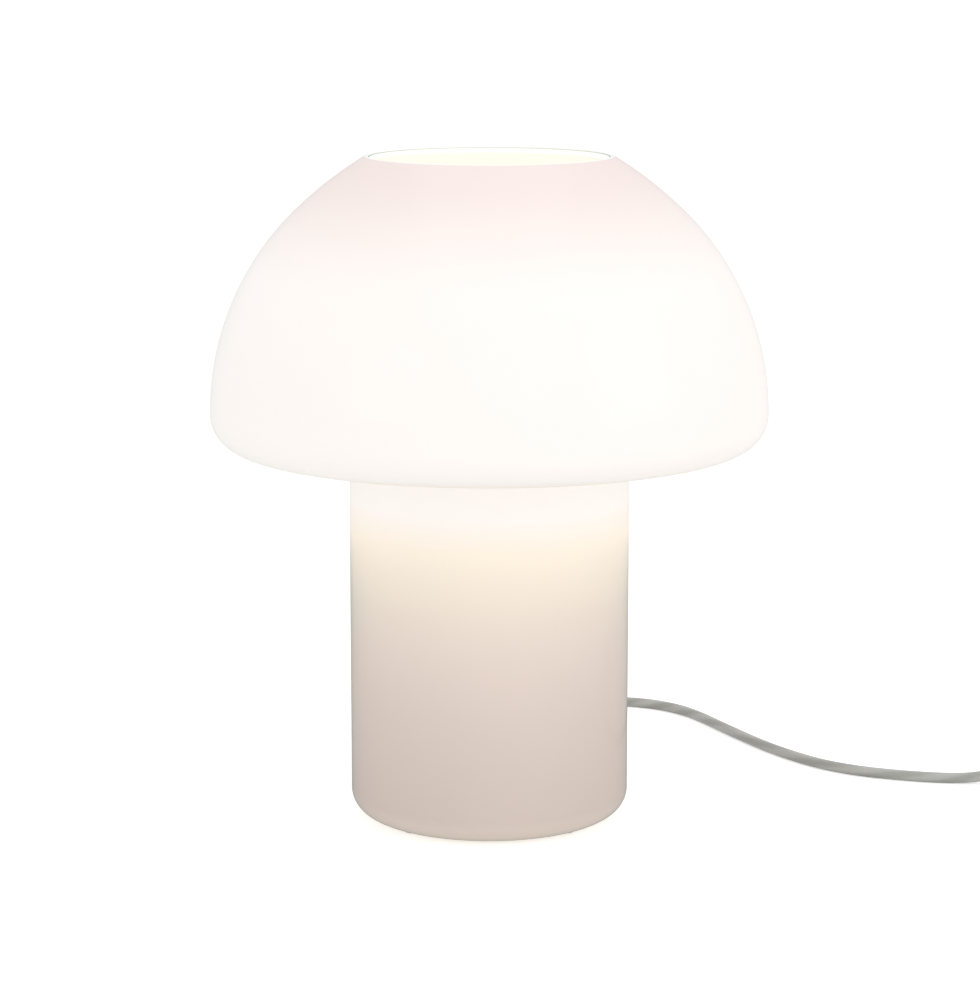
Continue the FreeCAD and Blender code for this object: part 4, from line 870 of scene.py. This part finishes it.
@dataclass
class Bulb:
    """A round opal bulb with its threaded cap. Its neck goes on down into the cap as a slimmer spigot,
    which widens round the collar's foot. Sizes in millimetres. The tip is measured from the table, and the
    cap's foot and top from the tip."""

    tip: float = 161.05
    globe: float = 30.0
    neck: float = 12.9
    neck_arc: float = 40.0
    neck_length: float = 1.65
    wall: float = 1.0
    spigot: float = 11.7
    spigot_up: float = 3.0
    widens_below: float = 1.0
    widens_above: float = 0.5
    slack: float = 0.1
    cap_foot: float = 5.0
    cap_top: float = 26.5
    cap: float = 13.15
    cap_wall: float = 0.3
    cone: float = 0.95
    collar: float = 2.0
    steps: int = 96
    neck_points: int = 16
    globe_points: int = 40

    def outline(self) -> Outline:
        """Works out the closed outline of the glass envelope.

        Returns:
            Its points, up the outer wall and down the inner one.
        """
        cap_top = self.tip + self.cap_top
        neck_z = cap_top + self.neck_length
        reach = self.neck + self.neck_arc
        drop = math.sqrt((self.globe + self.neck_arc) ** 2 - reach**2)
        meet = math.degrees(math.atan2(drop, reach))
        centre = neck_z + drop
        spigot_foot = self.tip + self.cap_foot + self.spigot_up
        spigot_top = cap_top - self.collar - self.widens_below
        in_cap = self.neck - self.slack
        inside = self.spigot - self.wall
        return [
            (self.spigot, spigot_foot),
            (self.spigot, spigot_top),
            (in_cap, cap_top - self.collar + self.widens_above),
            (in_cap, cap_top),
            *arc(reach, neck_z, self.neck_arc, 180, 180 - meet, self.neck_points),
            *arc(0, centre, self.globe, -meet, 90, self.globe_points)[1:],
            *arc(0, centre, self.globe - self.wall, 90, -meet, self.globe_points),
            *arc(reach, neck_z, self.neck_arc + self.wall, 180 - meet, 180, self.neck_points)[1:],
            (inside, spigot_top),
            (inside, spigot_foot),
        ]

    def thread(self) -> Thread:
        """Gives the cap's thread, which rises out of its narrow foot and ends under a plain collar."""
        foot, top = self.tip + self.cap_foot, self.tip + self.cap_top
        return Thread(foot + self.cone, top - self.collar, sunk_foot=True)

    def cap_outline(self) -> Outline:
        """Works out the closed outline of the cap's sleeve before its thread is rolled.

        Returns:
            Its points, up the outer wall and down the inner one.
        """
        foot, top = self.tip + self.cap_foot, self.tip + self.cap_top
        inside = self.cap - self.cap_wall
        rows = self.thread().rows
        return [
            (self.cap - self.cone, foot),
            *rows(self.cap),
            (self.cap, top),
            (inside, top),
            *reversed(rows(inside)),
            (inside - self.cone, foot),
        ]

    def build(self) -> None:
        """Spins the envelope, rolls the cap and dresses its insulator and its contact."""
        glass = spun("bulb_envelope", self.outline(), self.steps)
        finish_piece(glass, BULB_GLASS, Body.BULB, ("bulb_glass",))
        cap = spun("threaded_bulb_cap", self.cap_outline(), self.steps)
        self.thread().roll(cap)
        finish_piece(cap, NICKEL, Body.BULB, ("bulb_screw_cap",))
        dress("bulb_insulator", VITRITE)
        dress("bulb_contact", SOLDER)


@dataclass
class Socket:
    """The lampholder's threaded shell, which takes the bulb's cap. Sizes in millimetres."""

    bore: float = 13.35
    wall: float = 0.5
    floor_hole: float = 9.5
    plain_foot: float = 3.0
    lip: float = 1.0
    steps: int = 96

    def build(self) -> None:
        """Spins the shell and rolls its thread, in step with the bulb's."""
        foot, top = (corner[2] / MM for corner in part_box("screw_shell"))
        thread = Thread(foot + self.plain_foot, top - self.lip)
        outside = self.bore + self.wall
        outline = [
            (self.floor_hole, foot),
            (outside, foot),
            *thread.rows(outside),
            (outside, top),
            (self.bore, top),
            *reversed(thread.rows(self.bore)),
            (self.bore, foot + self.wall),
            (self.floor_hole, foot + self.wall),
        ]
        shell = spun("threaded_shell", outline, self.steps)
        thread.roll(shell)
        finish_piece(shell, BRASS, Body.LAMP, ("screw_shell",))


@dataclass
class Fittings:
    """The holder, column, clamping parts and pads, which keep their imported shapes."""

    finishes: dict[str, Finish] = field(
        default_factory=lambda: {
            "foot_pads": PAD_CLEAR,
            "lower_seal": RUBBER,
            "upper_seal": RUBBER,
            "clamp_washer": ZINC,
            "clamp_bolt": ZINC,
            "base_plate": ZINC,
            "column_foot": ZINC,
            "column_tube": POWDER_COAT,
            "column_head": POWDER_COAT,
            "column_grommet": WHITE_RUBBER,
            "holder_nipple": ZINC,
            "holder_nut": ZINC,
            "holder_dome": HOLDER_PBT,
            "holder_insert": STEATITE,
            "holder_terminals": BRASS,
            "terminal_screws": ZINC,
            "holder_skirt": HOLDER_PBT,
            "centre_contact": BRASS,
            "clamp_block": HOLDER_PBT,
            "clamp_bar": HOLDER_PBT,
            "clamp_screws": ZINC,
        }
    )

    def build(self) -> None:
        """Dresses each of them."""
        for node, finish in self.finishes.items():
            dress(node, finish)


@dataclass
class Lead:
    """The mains lead, from inside the lamp over the table to its coil and plug. Sizes in millimetres, turns
    in degrees, and the swing step in radians. The coil winds in, climbs and winds out again on top."""

    diameter: float = 5.0
    sleeve_end: Point = (0.0, 92.3, 27.0)
    route: tuple[Point, ...] = (
        (0.0, 114.0, 27.0),
        (0.5, 146.0, 2.5),
        (5.0, 172.0, 2.5),
        (20.0, 190.0, 2.5),
        (44.0, 196.0, 2.5),
        (66.0, 193.0, 2.5),
        (84.0, 187.5, 2.5),
        (98.0, 176.0, 2.5),
        (108.0, 160.0, 2.5),
        (118.0, 138.0, 2.5),
        (140.0, 94.0, 2.5),
        (166.0, 62.0, 2.5),
        (202.0, 47.0, 2.5),
        (230.0, 44.0, 2.5),
        (246.0, 44.0, 7.5),
    )
    switch_in: Point = (262.0, 44.0, 7.5)
    switch_out: Point = (310.0, 44.0, 7.5)
    link_drop: Point = (330.0, 44.0, 7.5)
    link_last_run: float = 20.0
    coil_centre: tuple[float, float] = (352.0, 95.0)
    coil_inside: float = 21.0
    coil_pitch: float = 5.5
    coil_low: float = 3.3
    coil_start: float = -60.0
    layer_turns: float = 3.125
    turn_points: int = 16
    swing_step: float = 1e-4
    exit_run: float = 30.0
    coil_straight: float = 6.0
    plug_straight: float = 4.0
    plug_axis: float = 6.85
    finishes: dict[str, Finish] = field(
        default_factory=lambda: {
            "switch_base": SWITCH_ABS,
            "switch_cover": SWITCH_ABS,
            "switch_rocker": ROCKER_ABS,
            "switch_screws": ZINC,
            "contact_bridge": BRASS,
            "switch_contacts": BRASS,
            "cord_sleeve": SLEEVE_PVC,
            "inner_cord": LEAD_PVC,
            "core_wires": CORE_PVC,
            "coil_tie": TIE_NYLON,
            "plug_body": PLUG_PVC,
            "plug_pins": NICKEL,
            "pin_sleeves": RUBBER,
        }
    )

    def coil_point(self, swing: float) -> Vector:
        """Gives the lead's middle after a swing of the coil.

        Args:
            swing: how far round, in radians.

        Returns:
            The point in millimetres.
        """
        layer = math.tau * self.layer_turns
        from_middle = swing - layer
        radius = self.coil_inside + self.coil_pitch * abs(from_middle) / math.tau
        share = min(max(from_middle / math.pi + 0.5, 0.0), 1.0)
        up = self.coil_low + self.coil_pitch * (share - math.sin(math.tau * share) / math.tau)
        angle = math.radians(self.coil_start) + swing
        x, y = self.coil_centre
        return Vector((x + radius * math.cos(angle), y + radius * math.sin(angle), up))

    def coil_heading(self, swing: float) -> Vector:
        """Gives the level heading of the lead at a swing of the coil.

        Args:
            swing: how far round, in radians.

        Returns:
            A vector of length 1.
        """
        step = self.coil_point(swing + self.swing_step) - self.coil_point(swing)
        step.z = 0.0
        return step.normalized()

    def coil_route(self) -> list[Vector]:
        """Works out the route from the switch through the coil to the plug.

        Returns:
            Its points in millimetres.
        """
        total = 2 * math.tau * self.layer_turns
        start = self.coil_point(0.0) - self.coil_heading(0.0) * self.diameter
        steps = round(self.turn_points * total / math.tau)
        # A curve of second order runs inside its points, so the points stand out by what it cuts off.
        out = 1 / (0.75 + 0.25 * math.cos(math.tau / self.turn_points))
        centre = Vector((*self.coil_centre, 0.0))
        turns = []
        for index in range(steps + 1):
            point = self.coil_point(total * index / steps)
            flat = Vector((point.x, point.y, 0.0)) - centre
            placed = centre + flat * (out if 0 < index < steps else 1.0)
            turns.append(Vector((placed.x, placed.y, point.z)))
        angle = math.radians(self.coil_start) + total + math.pi / 2
        heading = Vector((math.cos(angle), math.sin(angle), 0.0))
        exit_point = turns[-1] + heading * self.exit_run
        exit_point.z = self.plug_axis
        return [
            Vector(self.switch_out),
            Vector(self.link_drop),
            start - self.coil_heading(0.0) * self.link_last_run,
            start,
            *turns,
            turns[-1] + heading * self.coil_straight,
            exit_point - heading * self.plug_straight,
            exit_point + heading * self.diameter,
        ]

    def curve(self, name: str, points: list[Vector]) -> bpy.types.Object:
        """Lays a smooth round lead over points.

        Args:
            name: the piece's name.
            points: the route in millimetres.

        Returns:
            The curve.
        """
        data = bpy.data.curves.new(name, "CURVE")
        data.dimensions = "3D"
        spline = data.splines.new("NURBS")
        spline.points.add(len(points) - 1)
        for target, point in zip(spline.points, points):
            target.co = (*(point * MM), 1.0)
        spline.order_u = 3
        spline.use_endpoint_u = True
        spline.resolution_u = 8
        data.bevel_depth = self.diameter / 2 * MM
        data.bevel_resolution = 6
        data.use_fill_caps = True
        piece = bpy.data.objects.new(name, data)
        bpy.context.scene.collection.objects.link(piece)
        return piece

    def build(self) -> None:
        """Lays the free stretch and the put-away length, and dresses what is on them."""
        stretch = self.curve(
            "lead_on_table", [Vector(self.sleeve_end), *map(Vector, self.route), Vector(self.switch_in)]
        )
        finish_piece(stretch, LEAD_PVC, Body.LAMP, ("cord_stretch",))
        coil = self.curve("lead_in_coil", self.coil_route())
        finish_piece(coil, COILED_PVC, Body.LAMP, ("cord_link", "cord_coil"))
        for node, finish in self.finishes.items():
            dress(node, finish)


@dataclass(frozen=True)
class SoftBox:
    """A square soft light that looks at the lamp. Sizes in metres, power in watts."""

    name: str
    place: Point
    size: float
    power: float
    looks_at: Point = (0.0, 0.0, 0.15)

    def hang(self) -> None:
        """Hangs the light at its place."""
        data = bpy.data.lights.new(self.name, "AREA")
        data.size = self.size
        data.energy = self.power
        light = bpy.data.objects.new(self.name, data)
        light.location = self.place
        towards = Vector(self.looks_at) - Vector(self.place)
        light.rotation_euler = towards.to_track_quat("-Z", "Y").to_euler()
        bpy.context.scene.collection.objects.link(light)


@dataclass
class Studio:
    """A pale floor, soft light and the camera of the photograph. Sizes in metres, angles in degrees."""

    distance: float = 1.4
    height: float = 0.4069
    aside: float = 0.0003
    pitch: float = 10.429
    focal_pixels: float = 3156.9
    long_side: float = 981.0
    sensor: float = 36.0
    floor_size: float = 60.0
    paper: str = "E8E8E6"
    floor_lift: float = 0.55
    fill: float = 0.62
    boxes: tuple[SoftBox, ...] = (
        SoftBox("front_left_box", (-1.8, -1.9, 1.0), 1.4, 10.0),
        SoftBox("right_box", (2.0, -1.1, 0.9), 1.4, 11.0),
        SoftBox("top_box", (0.0, 0.4, 2.2), 1.6, 6.0),
    )

    def camera(self) -> None:
        """Sets the camera up."""
        data = bpy.data.cameras.new("photo_camera")
        data.sensor_width = self.sensor
        data.lens = self.focal_pixels * self.sensor / self.long_side
        data.clip_end = 100.0
        camera = bpy.data.objects.new("photo_camera", data)
        camera.location = (self.aside, -self.distance, self.height)
        camera.rotation_euler = (math.radians(90 - self.pitch), 0, 0)
        bpy.context.scene.collection.objects.link(camera)
        bpy.context.scene.camera = camera

    def seen_directly(self, tree: bpy.types.NodeTree) -> bpy.types.NodeSocket:
        """Tells rays that see the backdrop from those that only carry its light.

        Args:
            tree: the material's or world's tree.

        Returns:
            1 for the camera's, glossy and transmission rays, and 0 for others.
        """
        path = add_node(tree, "LightPath", {})
        seen = path.outputs["Is Camera Ray"]
        for kind in ("Is Glossy Ray", "Is Transmission Ray"):
            seen = add_node(tree, "Math", {"operation": "MAXIMUM"}, _0=seen, _1=path.outputs[kind]).outputs[0]
        return seen

    def floor(self) -> None:
        """Lays a white floor that keeps the lamp's soft shadow."""
        bpy.ops.object.select_all(action="DESELECT")
        bpy.ops.mesh.primitive_plane_add(size=self.floor_size)
        floor = bpy.context.object
        floor.name = "floor"
        material, tree, output = new_material("white paper sweep")
        seen = self.seen_directly(tree)
        lift = add_node(tree, "Math", {"operation": "MULTIPLY", "1": self.floor_lift}, _0=seen)
        shader = add_node(
            tree,
            "BsdfPrincipled",
            {
                "Base Color": linear(self.paper),
                "Roughness": 0.9,
                "Specular IOR Level": 0.0,
                "Emission Color": WHITE,
            },
            Emission_Strength=lift.outputs["Value"],
        )
        tree.links.new(shader.outputs["BSDF"], output.inputs["Surface"])
        floor.data.materials.append(material)

    def world(self) -> None:
        """Surrounds the lamp with even light and a white backdrop."""
        world = bpy.data.worlds.new("studio")
        bpy.context.scene.world = world
        world.use_nodes = True
        tree = world.node_tree
        tree.nodes.clear()
        strength = add_node(
            tree, "MapRange", {"To Min": self.fill, "To Max": 1.0}, Value=self.seen_directly(tree)
        )
        background = add_node(tree, "Background", {"Color": WHITE}, Strength=strength.outputs["Result"])
        output = add_node(tree, "OutputWorld", {})
        tree.links.new(background.outputs["Background"], output.inputs["Surface"])

    def build(self) -> None:
        """Sets up the floor, the world and the lights."""
        self.floor()
        self.world()
        for box in self.boxes:
            box.hang()
        bpy.context.scene.view_settings.view_transform = "Standard"


def main() -> None:
    """Builds the scene."""
    studio = Studio()
    studio.camera()
    Lead().build()
    Shade().build()
    Bulb().build()
    Socket().build()
    Fittings().build()
    studio.build()
    bpy.context.view_layer.update()


if __name__ == "__main__":
    main()
